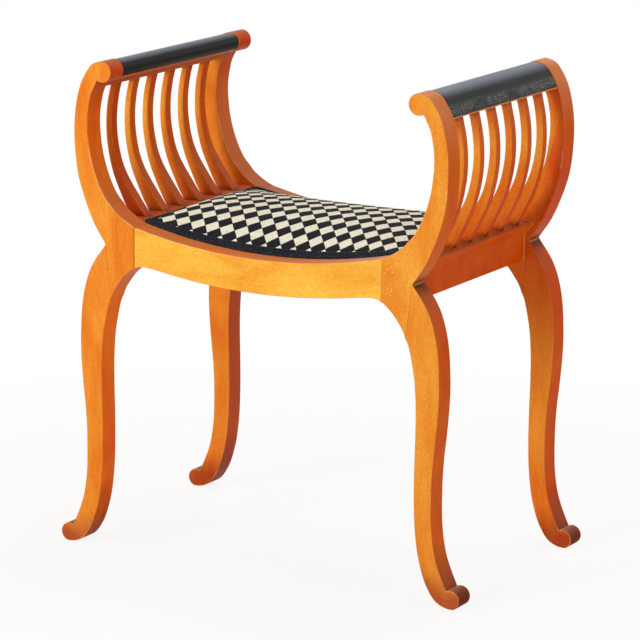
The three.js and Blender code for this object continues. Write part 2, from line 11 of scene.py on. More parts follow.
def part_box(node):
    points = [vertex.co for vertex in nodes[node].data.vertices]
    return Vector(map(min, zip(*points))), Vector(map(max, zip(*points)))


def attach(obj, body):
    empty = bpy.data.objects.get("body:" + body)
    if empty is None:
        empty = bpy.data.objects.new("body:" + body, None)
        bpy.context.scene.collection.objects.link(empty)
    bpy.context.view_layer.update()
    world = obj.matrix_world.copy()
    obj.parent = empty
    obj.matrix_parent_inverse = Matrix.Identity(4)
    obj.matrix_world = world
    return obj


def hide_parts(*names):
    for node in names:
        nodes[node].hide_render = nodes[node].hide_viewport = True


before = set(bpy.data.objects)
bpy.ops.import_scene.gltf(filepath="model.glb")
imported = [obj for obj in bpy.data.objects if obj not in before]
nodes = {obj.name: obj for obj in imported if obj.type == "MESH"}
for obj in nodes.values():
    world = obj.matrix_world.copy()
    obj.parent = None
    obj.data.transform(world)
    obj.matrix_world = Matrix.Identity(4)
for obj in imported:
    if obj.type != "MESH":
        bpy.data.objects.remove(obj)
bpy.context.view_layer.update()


def linear(red, green, blue):
    """A colour given as it looks on screen, 0 to 255, as the linear values that a shader takes."""
    shares = [c / 255 for c in (red, green, blue)]
    return tuple(c / 12.92 if c <= 0.04045 else ((c + 0.055) / 1.055) ** 2.4 for c in shares) + (1.0,)


MM = 0.001
SIDES = (("right", 1), ("left", -1))
FRAMES = ("front", "back")
SLATS = range(1, 7)
FIRST_SEED = 11
RAIL_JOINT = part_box("front_rail")[1].x
RAIL_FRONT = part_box("front_rail")[0].y
FRAME_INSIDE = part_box("back_rail")[0].y

# Camera, solved from matching points on the front and back frames.
CAMERA_AZIMUTH = math.radians(30.17)
CAMERA_ELEVATION = math.radians(13.02)
CAMERA_ROLL = math.radians(0.50)
CAMERA_DISTANCE = 4.7695
CAMERA_TARGET = Vector((-0.0042, -0.0015, 0.3174))
CAMERA_LENS = 194.6
SENSOR_WIDTH = 36
CLIP_END = 100

# Lamps: name, place, width and power.
LAMPS = (
    ("key", (-1.25, -2.95, 1.6), 1.6, 69),
    ("right_fill", (6.0, -1.2, 3.0), 3.6, 46),
    ("top_soft", (0.2, 1.2, 2.8), 1.4, 25),
)
WORLD_LIGHT = 0.44
WORLD_COLOUR = (1.0, 0.84, 0.68, 1)
WHITE = (1, 1, 1, 1)
FLOOR_PAINT = (0.86, 0.86, 0.86, 1)
FLOOR_REACH = 12.0
FLOOR_GLOW = (0.45, 1.1, 0.88, 1.0)

# A noise is its scale, or one for each axis, then its detail, roughness and distortion.
# A band is a range of a value and, where it isn't 0 to 1, the range that this becomes.
# A surface is its specular level, with the distance and strength of its bumps.
FULL = (0.0, 1.0)
MIDDLE = (0.35, 0.65)

# Stained wood. The noises run along, through and across the grain.
STREAK_NOISE = ((45, 420, 420), 3, 0.6)
FLECK_NOISE = ((260, 1500, 1500), 1)
CLOUD_NOISE = ((9, 22, 22), 2, 0.5, 0.6)
MOTTLE_NOISE = (420, 2, 0.6)
STREAK_SHARE = 0.4
FIGURE_BAND = (0.32, 0.68)
FLECK_BAND = (0.56, 0.72, 0.0, 0.3)
MOTTLE_BAND = (0.42, 0.62, 0.0, 0.34)
WOOD_LIGHT = linear(250, 205, 84)
WOOD_DEEP = linear(238, 168, 54)
WOOD_MOTTLE = linear(222, 128, 36)
WOOD_ROUGHNESS = (0.3, 0.7, 0.3, 0.42)
WOOD_SURFACE = (0.05, 0.05 * MM, 0.5)
STREAK_RELIEF = 0.6

# Stains, each multiplied into the wood's colour, some of them painted light and shade. Redness follows each
# piece's tone and painted shade, and past a tone of 1 it deepens further. The side faces take stain with
# painted shade, the inner walls at the front take painted light, and the feet take painted shade towards the
# floor.
CLOUD_REDNESS = (*MIDDLE, 0.09, -0.09)
DEEP_BAND = (1.0, 1.6)
REDNESS = (0.80, 0.38, 0.25, 1)
DEEP_REDNESS = (0.92, 0.5, 1.0, 1)
ACROSS_BAND = (0.35, 0.75)
SIDE_STAIN_AND_SHADE = (0.97, 0.46, 0.08, 1)
INNER_WALL_LIGHT = (1.28, 0.82, 0.3, 1)
INNER_WALL_BAND = (0.60, 0.64, 1.0, 0.0)
FOOT_SHADE = (0.58, 0.35, 0.9, 1)
FOOT_WALL_SHADE = (0.42, 0.3, 0.7, 1)
FOOT_BAND = (0.016, 0.056, 1.0, 0.0)
FOOT_WALL_BAND = (0.025, 0.09, 1.0, 0.0)
FOOT_RAGGEDNESS = 0.05

# Tints, each mixed over the wood's colour: dust with a painted sheen on what faces up, painted light on the
# top of the right arm, a painted sheen on the slopes, and a painted reflection of the floor on what faces
# down. The walls are the edges of the frame boards.
FRAME_EDGE = 1 * MM
LEG_TOP = 0.43
WALL_TINT_BAND = (*FULL, 0.3, 0.0)
FAR_ARM_TINT = linear(214, 140, 100)
FAR_LEG_TINT = linear(128, 84, 76)
DUST_AND_SHEEN = linear(164, 102, 62)
DUST_AND_TOP_LIGHT = linear(212, 148, 100)
TOP_LIGHT_BAND = (0.5, 0.58)
DUST_AND_SHEEN_BAND = (0.1, 0.75)
DUST_AND_SHEEN_CLOUD = (*MIDDLE, 0.5, 0.75)
STEEP_TOP_LIGHT_BAND = (0.0, 0.45, 0.0, 0.55)
SHEEN = linear(214, 172, 146)
SHEEN_UP_BAND = (0.6, 0.9)
SHEEN_SIDE_BAND = (-0.35, -0.05, 0.8, 0.0)
FLOOR_REFLECTION = linear(184, 126, 104)
BENEATH_BAND = (-0.9, -0.3, 0.7, 0.0)
BENEATH_FRAME_BAND = (0.43, 0.46, 1.0, 0.35)
SCROLL_BOTTOM = 0.6

# Marks on the wood. Dirt and painted shade darken the creases and joints.
DIRT_AND_SHADE_NOISE = (140, 3, 0.65)
DIRT_AND_SHADE_BAND = (0.3, 0.6, 0.45, 1.0)
DIRT_AND_SHADE = linear(72, 30, 20)
DIRT_AND_SHADE_SHARE = 0.85
JOINT_LINE_BAND = (0.2 * MM, 0.5 * MM, 1.0, 0.0)
SEAM = linear(96, 40, 22)
SEAM_SHARE = 0.6
NICK_NOISE = (60, 3, 0.6)
NICK_BAND = (0.35, 0.6, 0.25, 1.0)
WORN_EDGE = linear(252, 190, 124)
WORN_SHARE = 0.6
OLD_GLUE = linear(255, 188, 112)
FILLER = linear(255, 222, 128)
FILLER_BAND = (0.5 * MM, 1.1 * MM, 0.8, 0.0)
KNOT = linear(84, 36, 20)
KNOT_CORE = 0.4
KNOT_SHARE = 0.85

# Specks of filler round the right front joint, in X and Z, and knots on the left front arm with their reach.
FILLER_SPECKS = (
    (198.7, 452.5), (215.1, 455.9), (215.8, 452.9), (201.7, 445.7), (196.6, 440.0), (208.5, 442.4),
    (206.7, 448.8), (201.5, 419.8), (207.8, 420.0), (206.7, 416.8), (202.2, 413.7), (206.2, 411.7),
)
KNOTS = (((-0.2515, -0.1735, 0.5225), 0.0026), ((-0.2505, -0.1765, 0.5185), 0.0018))

# Leathercloth, with a painted sheen on its top.
PEBBLE_SCALE = 800.0
LEATHER_NOISE = ((60, 14, 60), 3)
SCUFF_NOISE = (680, 3, 0.8)
SCUFF_BAND = (0.54, 0.57, 0.0, 1.6)
PATCH_NOISE = ((30, 16, 30), 2)
PATCH_BAND = (0.3, 0.45)
LEATHER_COLOURS = (linear(2, 2, 2), linear(9, 8, 8))
LEATHER_TOP_SHEEN = linear(112, 122, 140)
LEATHER_SHEEN_BAND = (0.6, 1.0, 0.0, 0.85)
LEATHER_RUBBED = linear(160, 164, 164)
RUBBED_SHARE = 0.75
LEATHER_ROUGHNESS = (0.3, 0.7, 0.28, 0.4)
LEATHER_SURFACE = (0.14, 0.07 * MM, 0.3)

# The check. Its tip is where a row of diamonds starts.
CHECK_ACROSS = 23.1 * MM
CHECK_ALONG = 30.3 * MM
CHECK_START = -2.15 * MM
CHECK_TIP = -131 * MM
CHECK_SOFTNESS = 0.02
CHECK_MARGIN = 0.008
CHECK_WANDER = 0.10
RAGGED_NOISE = (500, 2, 0.5)
DRIFT_NOISE = (22, 2, 0.5)
CHECK_YARN_NOISE = ((900, 420, 900), 2)
SLUB_NOISE = (620, 2, 0.6)
SLUB_BAND = (0.58, 0.7, 0.0, 0.8)
CREAM_COLOURS = (linear(212, 212, 190), linear(247, 250, 240))
CREAM_SLUB = linear(176, 166, 122)
BLACK_COLOURS = (linear(10, 11, 16), linear(30, 31, 40))
RIB_PERIOD = 1.5 * MM
RIB_RELIEF = 0.35
CHECK_ROUGHNESS = 0.92
CHECK_SURFACE = (0.15, 0.25 * MM, 0.7)

# The braid's cloth, with painted highlights on its loops.
BRAID_NOISE = (1100, 2, 0.6)
BRAID_BAND = (0.4, 0.68)
BRAID_COLOURS = (linear(13, 14, 20), linear(44, 46, 58))
LOOP_SCALE = 420.0
LOOP_BAND = (0.18, 0.34, 0.75, 0.0)
LOOP_HIGHLIGHT = linear(92, 95, 112)
BRAID_ROUGHNESS = 0.85
BRAID_SURFACE = (0.2, 0.2 * MM, 0.6)

# Bare wood and zinc-plated steel, for the pieces underneath.
BARE_NOISE = ((18, 260, 260), 3, 0.6)
BARE_ROUGHNESS = 0.75
BARE_SURFACE = (0.3, 0.08 * MM, 0.5)
BEECH_COLOURS = (linear(222, 190, 146), linear(196, 158, 110))
PLYWOOD_COLOURS = (linear(206, 172, 122), linear(176, 138, 90))
STEEL_NOISE = (700, 3, 0.6)
STEEL_COLOURS = (linear(150, 152, 156), linear(205, 206, 208))
STEEL_ROUGHNESS = (0.3, 0.7, 0.3, 0.5)

# Outlines taken from the CAD solids.
WELD = 1e-5
SPLICE_LENGTH = 60 * MM
JOINT_REACH = 0.5 * MM
CORNER_ANGLE = math.radians(31)
SQUARE_TURN = 0.2
LEAST_SPREAD = 0.05
OUTLINE_STEP = 3 * MM
SHORT_EDGE = 0.8 * MM

# Eased edges, and how strongly each kind of glue line shows.
ARRIS = 1.1 * MM
SEAM_ARRIS = 0.4 * MM
SPLICE_ARRIS = 0.08 * MM
EDGE_ZONE = 3.2 * MM
NEAR_ZONE = 0.45 * MM
RAIL_SEAM = 1.0
SPLICE_SEAM = 0.07
PALE_SEAM = 0.25
LIMIT_SLOPE = 0.5
LIMIT_PASSES = 8
ARRIS_STEPS = 3
INSET_SHARE = 0.75
ARRIS_LIMIT_SHARE = 0.6
SHARP_ANGLE = math.radians(50)
GRAIN_SHIFT = 2
LEG_GRAIN_LEAN = 0.03

# Slats. What fades from a slat's end is an amount and the length over which it fades. Painted shade reddens
# the first slat on the left, and reddens the slats towards their feet and under the crest. Dirt with painted
# shade darkens both ends.
SLAT_CORNER_STEPS = 4
SLAT_CORNER = 1.9 * MM
SLAT_ARRIS = 1.4 * MM
SLAT_STEP = 4 * MM
SLAT_WEAR = 0.3
SLAT_TONE = 0.62
SLAT_TONES_AND_SHADE = {("left", 1): 0.85, ("left", 2): 0.42}
SLAT_FOOT_SHADE = {"right": 0.65, "left": 0.7}
SLAT_FOOT_FADE = 1.5
SLAT_HEAD_SHADE = (0.5, 45 * MM)
SLAT_FOOT_DIRT_AND_SHADE = (0.9, 8.1 * MM)
SLAT_HEAD_DIRT_AND_SHADE = (0.7, 4.9 * MM)

# Crest rails and their covers. A lip of bare wood shows under the lower edge of the cover. A ramp is an
# amount, a start, and the length over which the amount is reached.
CREST_LIP = 1.8 * MM
CREST_LIP_HEIGHT = 1.6 * MM
CREST_LIP_GLUE = (0.5 * MM, 0.7)
CREST_ARRIS = 0.5 * MM
CREST_TONE = 0.7
# Dirt and painted shade along the crease at the lip.
CREST_DIRT_AND_SHADE = (0.5, 4 * MM, -4 * MM)
COVER_ARRIS = 0.45 * MM
COVER_STEP = 2 * MM
COVER_FOOT = 1.2 * MM
COVER_LIFT = 0.2 * MM
RUBBED_HEIGHT = 10 * MM
RUBBED = (1, 9 * MM, -9 * MM)
RUBBED_FROM = 0.25

# The pad. Its surface follows the dip of the rails and rises to a crown.
PAD_HALF_LENGTH = 201.4 * MM
PAD_HALF_WIDTH = 148.7 * MM
PAD_EDGE_MIDDLE = 437 * MM
PAD_EDGE_CORNER = 461 * MM
PAD_END_SAG = 7.5 * MM
PAD_CROWN = 476.8 * MM
PAD_CROWN_RISE = 1.5 * MM
PAD_SIDE_POWER = 2.4
PAD_END_POWER = 16
PAD_CORNER = 7 * MM
PAD_CORNER_POINTS = 6
PAD_STEP = 2.5 * MM
PAD_RINGS = 34
PAD_SIDE_INSET = 1.6 * MM
PAD_TOP_INSET = 2.6 * MM
PAD_SIDE_DROPS = (5 * MM, 2 * MM)
CLOTH_STEPS = 60

# The braid: a flat band with a cord along each edge and cords plaited down its middle.
BRAID_WIDTH = 11.5 * MM
BRAID_THICKNESS = 2.0 * MM
BRAID_SKIRT = -7 * MM
BRAID_RISE = 0.25 * MM
BRAID_SHOULDER = 0.86
BRAID_STEP = 2.2 * MM
BRAID_PROBE = 1 * MM
STRANDS = 3
PLAIT_PERIOD = 15 * MM
PLAIT_REACH = 2.9 * MM
PLAIT_HEIGHT = 0.9 * MM
PLAIT_LIFT = 0.55 * MM
PLAIT_RADIUS = 1.15 * MM
CORD_SIDES = 6
EDGE_CORD_RADIUS = 0.85 * MM
EDGE_CORD_REACH = 4.9 * MM
EDGE_CORD_LIFT = 0.5 * MM

# Redness of the frame boards, in numbers and ramps. Painted shade reddens the back frame, and reddens the
# back right arm and leg further where the end rail, the slats and the seat shade them.
BACK_SHADE = 0.2
FRAME_MIDDLE = 165.6 * MM
WALL_HALF = 15.5 * MM
GLUE_HALF = 13 * MM
RAIL_TONE = 0.24
RAIL_WALL_TONE = 0.45
RAIL_FADE = (0.22, -0.15, 0.3)
ARM_TONE = {1: 0.66, -1: 0.78}
ARM_FOOT_TONE = (0.1, 0.5, -0.06)
ARM_BACK_SHARE = 0.5
SCROLL_TONE = (0.3, 0.635, 0.01)
SHADED_TONE = (2, 0.56, -0.1)
OUTER_SHADE = 3
OUTER_FROM = 0.46
OUTER_DEPTH = 1.2 * MM
OUTER_LEVELS = np.arange(0.4, 0.7, 0.012)
LEG_TONE = {1: 0.7, -1: 0.68}
LEG_BACK_SHARE = {1: 0.6, -1: 0.3}
LEG_MIDDLE = 0.2
LEG_END_TONE = (0.2, 0, 0.12)
LEG_HEAD_SHADE = (2.2, 0.26, 0.12)
LEG_FOOT_TONE = (1.4, 0.14, -0.08)
END_RAIL_TONE = 0.92

# Wear, glue, and dirt with painted shade, of the frame boards and end rails. Each part's pale glue line runs
# along one joint.
RAIL_WEAR = (0.42, 1.0, 0.25)
ARM_WEAR = (0.9, 0.18)
ARM_WEAR_HEIGHTS = (0.45, 0.56)
ARM_WEAR_REACH = 0.042
ARM_WEAR_FLARE = (0.06, 0.45, 0.1)
LEG_WEAR = (0.027, 0.2, 0.6)
END_RAIL_WEAR = 0.15
END_RAIL_GLUE_FROM = 0.1465
END_RAIL_DIRT_AND_SHADE = (0.15, 0.4535, 5 * MM)
RAIL_GLUE_FROM = RAIL_JOINT - 0.45 * MM
NOTCH = (237.5 * MM, 428 * MM)
NOTCH_GLUE = 0.8
NOTCH_GLUE_REACH = 1.6 * MM
NOTCH_DIRT_AND_SHADE = (1, 18.75 * MM, -15 * MM)
NOTCH_DIRT_AND_SHADE_DROP = 3 * MM
TOE_DIRT_AND_SHADE = (0.8, 0.297, 0.01)
TOE_DIRT_AND_SHADE_LOW = (1, 0.03, -0.01)


# Camera, stage and light.
def make_camera():
    a, e = CAMERA_AZIMUTH, CAMERA_ELEVATION
    back = Vector((math.sin(a) * math.cos(e), -math.cos(a) * math.cos(e), math.sin(e)))
    level = Vector((math.cos(a), math.sin(a), 0))
    upward = back.cross(level)
    right = math.cos(CAMERA_ROLL) * level + math.sin(CAMERA_ROLL) * upward
    up = math.cos(CAMERA_ROLL) * upward - math.sin(CAMERA_ROLL) * level
    data = bpy.data.cameras.new("camera")
    data.lens = CAMERA_LENS
    data.sensor_width = SENSOR_WIDTH
    data.clip_end = CLIP_END
    camera = bpy.data.objects.new("camera", data)
    bpy.context.scene.collection.objects.link(camera)
    camera.rotation_mode = "QUATERNION"
    camera.rotation_quaternion = Matrix((right, up, back)).transposed().to_quaternion()
    camera.location = CAMERA_TARGET + back * CAMERA_DISTANCE
    bpy.context.scene.camera = camera


def make_lamp(name, place, width, power):
    data = bpy.data.lights.new(name, "AREA")
    data.shape = "DISK"
    data.size = width
    data.energy = power
    lamp = bpy.data.objects.new(name, data)
    bpy.context.scene.collection.objects.link(lamp)
    lamp.location = place
    lamp.rotation_mode = "QUATERNION"
    lamp.rotation_quaternion = (Vector(place) - CAMERA_TARGET).to_track_quat("Z", "Y")


class Graph:
    """The node tree of a new material or world, with short calls for the nodes used here."""

    def __init__(self, name, kept_in=bpy.data.materials):
        self.owner = kept_in.new(name)
        self.owner.use_nodes = True
        self.tree = self.owner.node_tree
        self.tree.nodes.clear()

    def node(self, kind, inputs=None, **settings):
        made = self.tree.nodes.new(kind)
        for key, value in settings.items():
            setattr(made, key, value)
        for key, value in (inputs or {}).items():
            if isinstance(value, bpy.types.NodeSocket):
                self.tree.links.new(value, made.inputs[key])
            else:
                made.inputs[key].default_value = value
        return made

    def math(self, operation, *values, clamp=False):
        inputs = dict(enumerate(values))
        return self.node("ShaderNodeMath", inputs, operation=operation, use_clamp=clamp).outputs[0]

    def times(self, value, *others, clamp=False):
        for other in others:
            value = self.math("MULTIPLY", value, other, clamp=clamp)
        return value

    def blend(self, share, first, second):
        return self.math("ADD", self.times(first, share), self.times(second, 1 - share))

    def mix(self, share, first, second, blend="MIX"):
        inputs = {0: share, 6: first, 7: second}
        made = self.node("ShaderNodeMix", inputs, data_type="RGBA", blend_type=blend)
        return made.outputs[2]

    def stained(self, share, colour, stain):
        return self.mix(share, colour, self.mix(1.0, colour, stain, "MULTIPLY"))

    def noise(self, vector, scale, detail=2.0, roughness=0.5, distortion=0.0):
        """Fractal noise. A scale for each axis stretches it."""
        if isinstance(scale, tuple):
            stretch = {0: vector, 1: scale}
            vector = self.node("ShaderNodeVectorMath", stretch, operation="MULTIPLY").outputs[0]
            scale = 1.0
        inputs = {"Vector": vector, "Scale": scale, "Detail": detail, "Roughness": roughness,
                  "Distortion": distortion}
        return self.node("ShaderNodeTexNoise", inputs).outputs[0]

    def cells(self, vector, scale):
        return self.node("ShaderNodeTexVoronoi", {"Vector": vector, "Scale": scale}).outputs[0]

    def band(self, value, low, high, to_low=0.0, to_high=1.0):
        inputs = {"Value": value, "From Min": low, "From Max": high, "To Min": to_low, "To Max": to_high}
        return self.node("ShaderNodeMapRange", inputs, clamp=True).outputs[0]

    def attribute(self, name):
        return self.node("ShaderNodeAttribute", attribute_name=name).outputs

    def share(self, name):
        return self.attribute(name)["Fac"]

    def place(self):
        return self.node("ShaderNodeTexCoord").outputs["Object"]

    def axes(self, vector):
        return self.node("ShaderNodeSeparateXYZ", {0: vector}).outputs

    def facing(self, normal):
        return self.axes(self.node("ShaderNodeNewGeometry").outputs[normal])

    def distance(self, place, centre):
        inputs = {0: place, 1: centre}
        return self.node("ShaderNodeVectorMath", inputs, operation="DISTANCE").outputs["Value"]

    def finish(self, colour, roughness, height, specular, distance, strength):
        relief = {"Height": height, "Distance": distance, "Strength": strength}
        inputs = {"Base Color": colour, "Roughness": roughness, "Specular IOR Level": specular,
                  "Normal": self.node("ShaderNodeBump", relief).outputs[0]}
        return self.shade(inputs)

    def shade(self, inputs):
        shader = self.node("ShaderNodeBsdfPrincipled", inputs)
        self.node("ShaderNodeOutputMaterial", {"Surface": shader.outputs[0]})
        return self.owner


def make_floor():
    """A white floor for the camera, which keeps the shadow. It lights the stool as pale paint does."""
    g = Graph("floor_white")
    glow_share = g.band(g.distance(g.place(), (0, 0, 0)), *FLOOR_GLOW)
    seen = g.times(g.node("ShaderNodeLightPath").outputs["Is Camera Ray"], glow_share)
    paint = g.node("ShaderNodeBsdfDiffuse", {"Color": FLOOR_PAINT})
    glow = g.node("ShaderNodeEmission", {"Color": WHITE, "Strength": 1.0})
    mixed = g.node("ShaderNodeMixShader", {0: seen, 1: paint.outputs[0], 2: glow.outputs[0]})
    g.node("ShaderNodeOutputMaterial", {"Surface": mixed.outputs[0]})
    corners = [(x * FLOOR_REACH, y * FLOOR_REACH, 0) for x, y in ((-1, -1), (1, -1), (1, 1), (-1, 1))]
    mesh = bpy.data.meshes.new("floor")
    mesh.from_pydata(corners, [], [(0, 1, 2, 3)])
    mesh.materials.append(g.owner)
    floor = bpy.data.objects.new("floor", mesh)
    bpy.context.scene.collection.objects.link(floor)


def make_world():
    """Soft warm light, white to the camera, in reflections and through clear things."""
    g = Graph("studio", bpy.data.worlds)
    path = g.node("ShaderNodeLightPath").outputs
    plain = g.node("ShaderNodeBackground", {"Color": WORLD_COLOUR, "Strength": WORLD_LIGHT})
    white = g.node("ShaderNodeBackground", {"Color": WHITE})
    seen = g.math("MAXIMUM", path["Is Camera Ray"], path["Is Transmission Ray"])
    seen = g.math("MAXIMUM", seen, path["Is Glossy Ray"])
    mixed = g.node("ShaderNodeMixShader", {0: seen, 1: plain.outputs[0], 2: white.outputs[0]})
    g.node("ShaderNodeOutputWorld", {"Surface": mixed.outputs[0]})
    bpy.context.scene.world = g.owner


# Materials.
def wood_colour(g, place, streak, fleck, cloud):
    """The wood under its stains: figure, flecks and mottling."""
    figure = g.blend(STREAK_SHARE, streak, cloud)
    colour = g.mix(g.band(figure, *FIGURE_BAND), WOOD_DEEP, WOOD_LIGHT)
    colour = g.mix(g.band(fleck, *FLECK_BAND), colour, WOOD_DEEP)
    return g.mix(g.band(g.noise(place, *MOTTLE_NOISE), *MOTTLE_BAND), colour, WOOD_MOTTLE)


def wood_stains(g, colour, spot, cloud, across, lit_near_wall, far_wall):
    """The stains: redness by each piece's tone and painted shade, stain with painted shade on the side
    faces, painted light on the inner walls at the front, a pale tint on the back arms' inner walls, and
    painted shade down the feet.
    """
    # Redness from each piece's tone, which also holds painted shade.
    red = g.math("ADD", g.share("tone_and_shade"), g.band(cloud, *CLOUD_REDNESS))
    colour = g.stained(red, colour, REDNESS)
    colour = g.stained(g.band(red, *DEEP_BAND), colour, DEEP_REDNESS)
    # The side faces take stain with painted shade, and the inner walls at the front take painted light.
    stain = g.mix(lit_near_wall, SIDE_STAIN_AND_SHADE, INNER_WALL_LIGHT)
    colour = g.mix(across, g.mix(1.0, colour, stain, "MULTIPLY"), colour)
    far_arm = g.times(far_wall, g.math("GREATER_THAN", spot[2], LEG_TOP))
    colour = g.mix(g.times(far_arm, g.band(across, *WALL_TINT_BAND)), colour, FAR_ARM_TINT)
    # Painted shade down the feet: darker and redder towards the floor.
    ragged = g.times(g.math("SUBTRACT", cloud, 0.5), FOOT_RAGGEDNESS)
    height = g.math("ADD", spot[2], ragged)
    foot = g.mix(across, g.band(height, *FOOT_WALL_BAND), g.band(height, *FOOT_BAND))
    return g.stained(foot, colour, g.mix(across, FOOT_WALL_SHADE, FOOT_SHADE))


def wood_tints(g, colour, spot, facing, cloud, across, on_frame, far_wall):
    """Dust with a painted sheen on what faces up, painted light on the top of the right arm, a painted sheen
    on the slopes, a painted reflection of the floor on what faces down, and a dull tint on the back left
    leg's inner wall.
    """
    # Dust with a painted sheen on what faces up.
    dust_and_sheen = g.times(g.band(facing[2], *DUST_AND_SHEEN_BAND), g.band(cloud, *DUST_AND_SHEEN_CLOUD))
    # Painted light on the top of the right arm, its steep faces included.
    lit_top = g.times(g.band(spot[2], *TOP_LIGHT_BAND), g.math("GREATER_THAN", spot[0], 0.0))
    steep_lit_top = g.times(lit_top, g.band(facing[2], *STEEP_TOP_LIGHT_BAND))
    colour = g.mix(g.math("MAXIMUM", dust_and_sheen, steep_lit_top), colour, g.mix(lit_top, DUST_AND_SHEEN, DUST_AND_TOP_LIGHT))
    slanting = g.times(g.band(facing[2], *SHEEN_UP_BAND), g.band(facing[0], *SHEEN_SIDE_BAND))
    colour = g.mix(slanting, colour, SHEEN)
    # A painted reflection of the white floor on what faces down.
    low_frame = g.times(on_frame, g.band(spot[2], *BENEATH_FRAME_BAND))
    floor_reflection_zone = g.math("MAXIMUM", low_frame, g.math("GREATER_THAN", spot[2], SCROLL_BOTTOM))
    colour = g.mix(g.times(g.band(facing[2], *BENEATH_BAND), floor_reflection_zone), colour, FLOOR_REFLECTION)
    far_leg = g.times(far_wall, g.math("LESS_THAN", spot[2], LEG_TOP), g.math("LESS_THAN", spot[0], 0.0))
    return g.mix(g.times(far_leg, g.band(across, *WALL_TINT_BAND)), colour, FAR_LEG_TINT)


def wood_marks(g, colour, place, spot, across, on_frame):
    """Dirt with painted shade, glue lines, worn edges and old glue, where each piece's attributes put them.
    """
    # Dirt and painted shade darken creases and joints, in patches.
    dirt_and_shade_patches = g.band(g.noise(place, *DIRT_AND_SHADE_NOISE), *DIRT_AND_SHADE_BAND)
    dirt_and_shade = g.times(g.share("dirt_shade_and_rub"), dirt_and_shade_patches, clamp=True)
    colour = g.mix(g.times(dirt_and_shade, DIRT_AND_SHADE_SHARE), colour, DIRT_AND_SHADE)
    from_joint = g.math("SUBTRACT", g.math("ABSOLUTE", spot[0]), RAIL_JOINT)
    joint_line = g.band(g.math("ABSOLUTE", from_joint), *JOINT_LINE_BAND)
    on_wall = g.times(joint_line, on_frame, g.band(across, *FULL, 1.0, 0.0))
    seam = g.math("MAXIMUM", g.share("seam"), on_wall)
    colour = g.mix(g.times(seam, SEAM_SHARE), colour, SEAM)
    nicks = g.band(g.noise(place, *NICK_NOISE), *NICK_BAND)
    worn = g.times(g.share("edge"), nicks, clamp=True)
    colour = g.mix(g.times(worn, WORN_SHARE), colour, WORN_EDGE)
    return g.mix(g.share("glue"), colour, OLD_GLUE)


def wood(name, specks=(), knots=()):
    """Stained wood. It reads each piece's own grain direction, edges, seams, dirt with painted shade, and
    tone with painted shade from attributes.
    """
    g = Graph(name)
    grain = g.attribute("grain")["Vector"]
    place = g.place()
    spot = g.axes(place)
    facing = g.facing("True Normal")
    streak = g.noise(grain, *STREAK_NOISE)
    fleck = g.noise(grain, *FLECK_NOISE)
    cloud = g.noise(grain, *CLOUD_NOISE)
    across = g.band(g.math("ABSOLUTE", facing[1]), *ACROSS_BAND)
    on_frame = g.band(g.math("ABSOLUTE", spot[1]), FRAME_INSIDE, FRAME_INSIDE + FRAME_EDGE)
    inward = g.math("LESS_THAN", g.times(facing[0], spot[0]), 0.0)
    inner_wall = g.times(inward, g.times(on_frame, g.band(spot[2], *INNER_WALL_BAND)))
    # The inner walls at the front, where painted light is put.
    lit_near_wall = g.times(inner_wall, g.math("LESS_THAN", spot[1], 0.0))
    far_wall = g.times(inner_wall, g.math("GREATER_THAN", spot[1], 0.0))
    colour = wood_colour(g, place, streak, fleck, cloud)
    colour = wood_stains(g, colour, spot, cloud, across, lit_near_wall, far_wall)
    colour = wood_tints(g, colour, spot, facing, cloud, across, on_frame, far_wall)
    colour = wood_marks(g, colour, place, spot, across, on_frame)
    for x, z in specks:
        away = g.distance(place, (x * MM, RAIL_FRONT, z * MM))
        colour = g.mix(g.band(away, *FILLER_BAND), colour, FILLER)
    for centre, reach in knots:
        away = g.distance(place, centre)
        colour = g.mix(g.band(away, reach * KNOT_CORE, reach, KNOT_SHARE, 0.0), colour, KNOT)
    relief = g.blend(STREAK_RELIEF, streak, fleck)
    return g.finish(colour, g.band(cloud, *WOOD_ROUGHNESS), relief, *WOOD_SURFACE)


def leathercloth():
    g = Graph("black_leathercloth")
    place = g.place()
    cloud = g.noise(place, *LEATHER_NOISE)
    patch = g.band(g.noise(place, *PATCH_NOISE), *PATCH_BAND)
    scuff = g.band(g.noise(place, *SCUFF_NOISE), *SCUFF_BAND)
    # On the cover the same attribute holds only rubbed wear.
    rubbed = g.times(g.share("dirt_shade_and_rub"), patch, scuff, clamp=True)
    colour = g.mix(cloud, *LEATHER_COLOURS)
    # A painted sheen on the top.
    colour = g.mix(g.band(g.facing("Normal")[2], *LEATHER_SHEEN_BAND), colour, LEATHER_TOP_SHEEN)
    colour = g.mix(g.times(rubbed, RUBBED_SHARE), colour, LEATHER_RUBBED)
    pebble = g.cells(place, PEBBLE_SCALE)
    return g.finish(colour, g.band(cloud, *LEATHER_ROUGHNESS), pebble, *LEATHER_SURFACE)


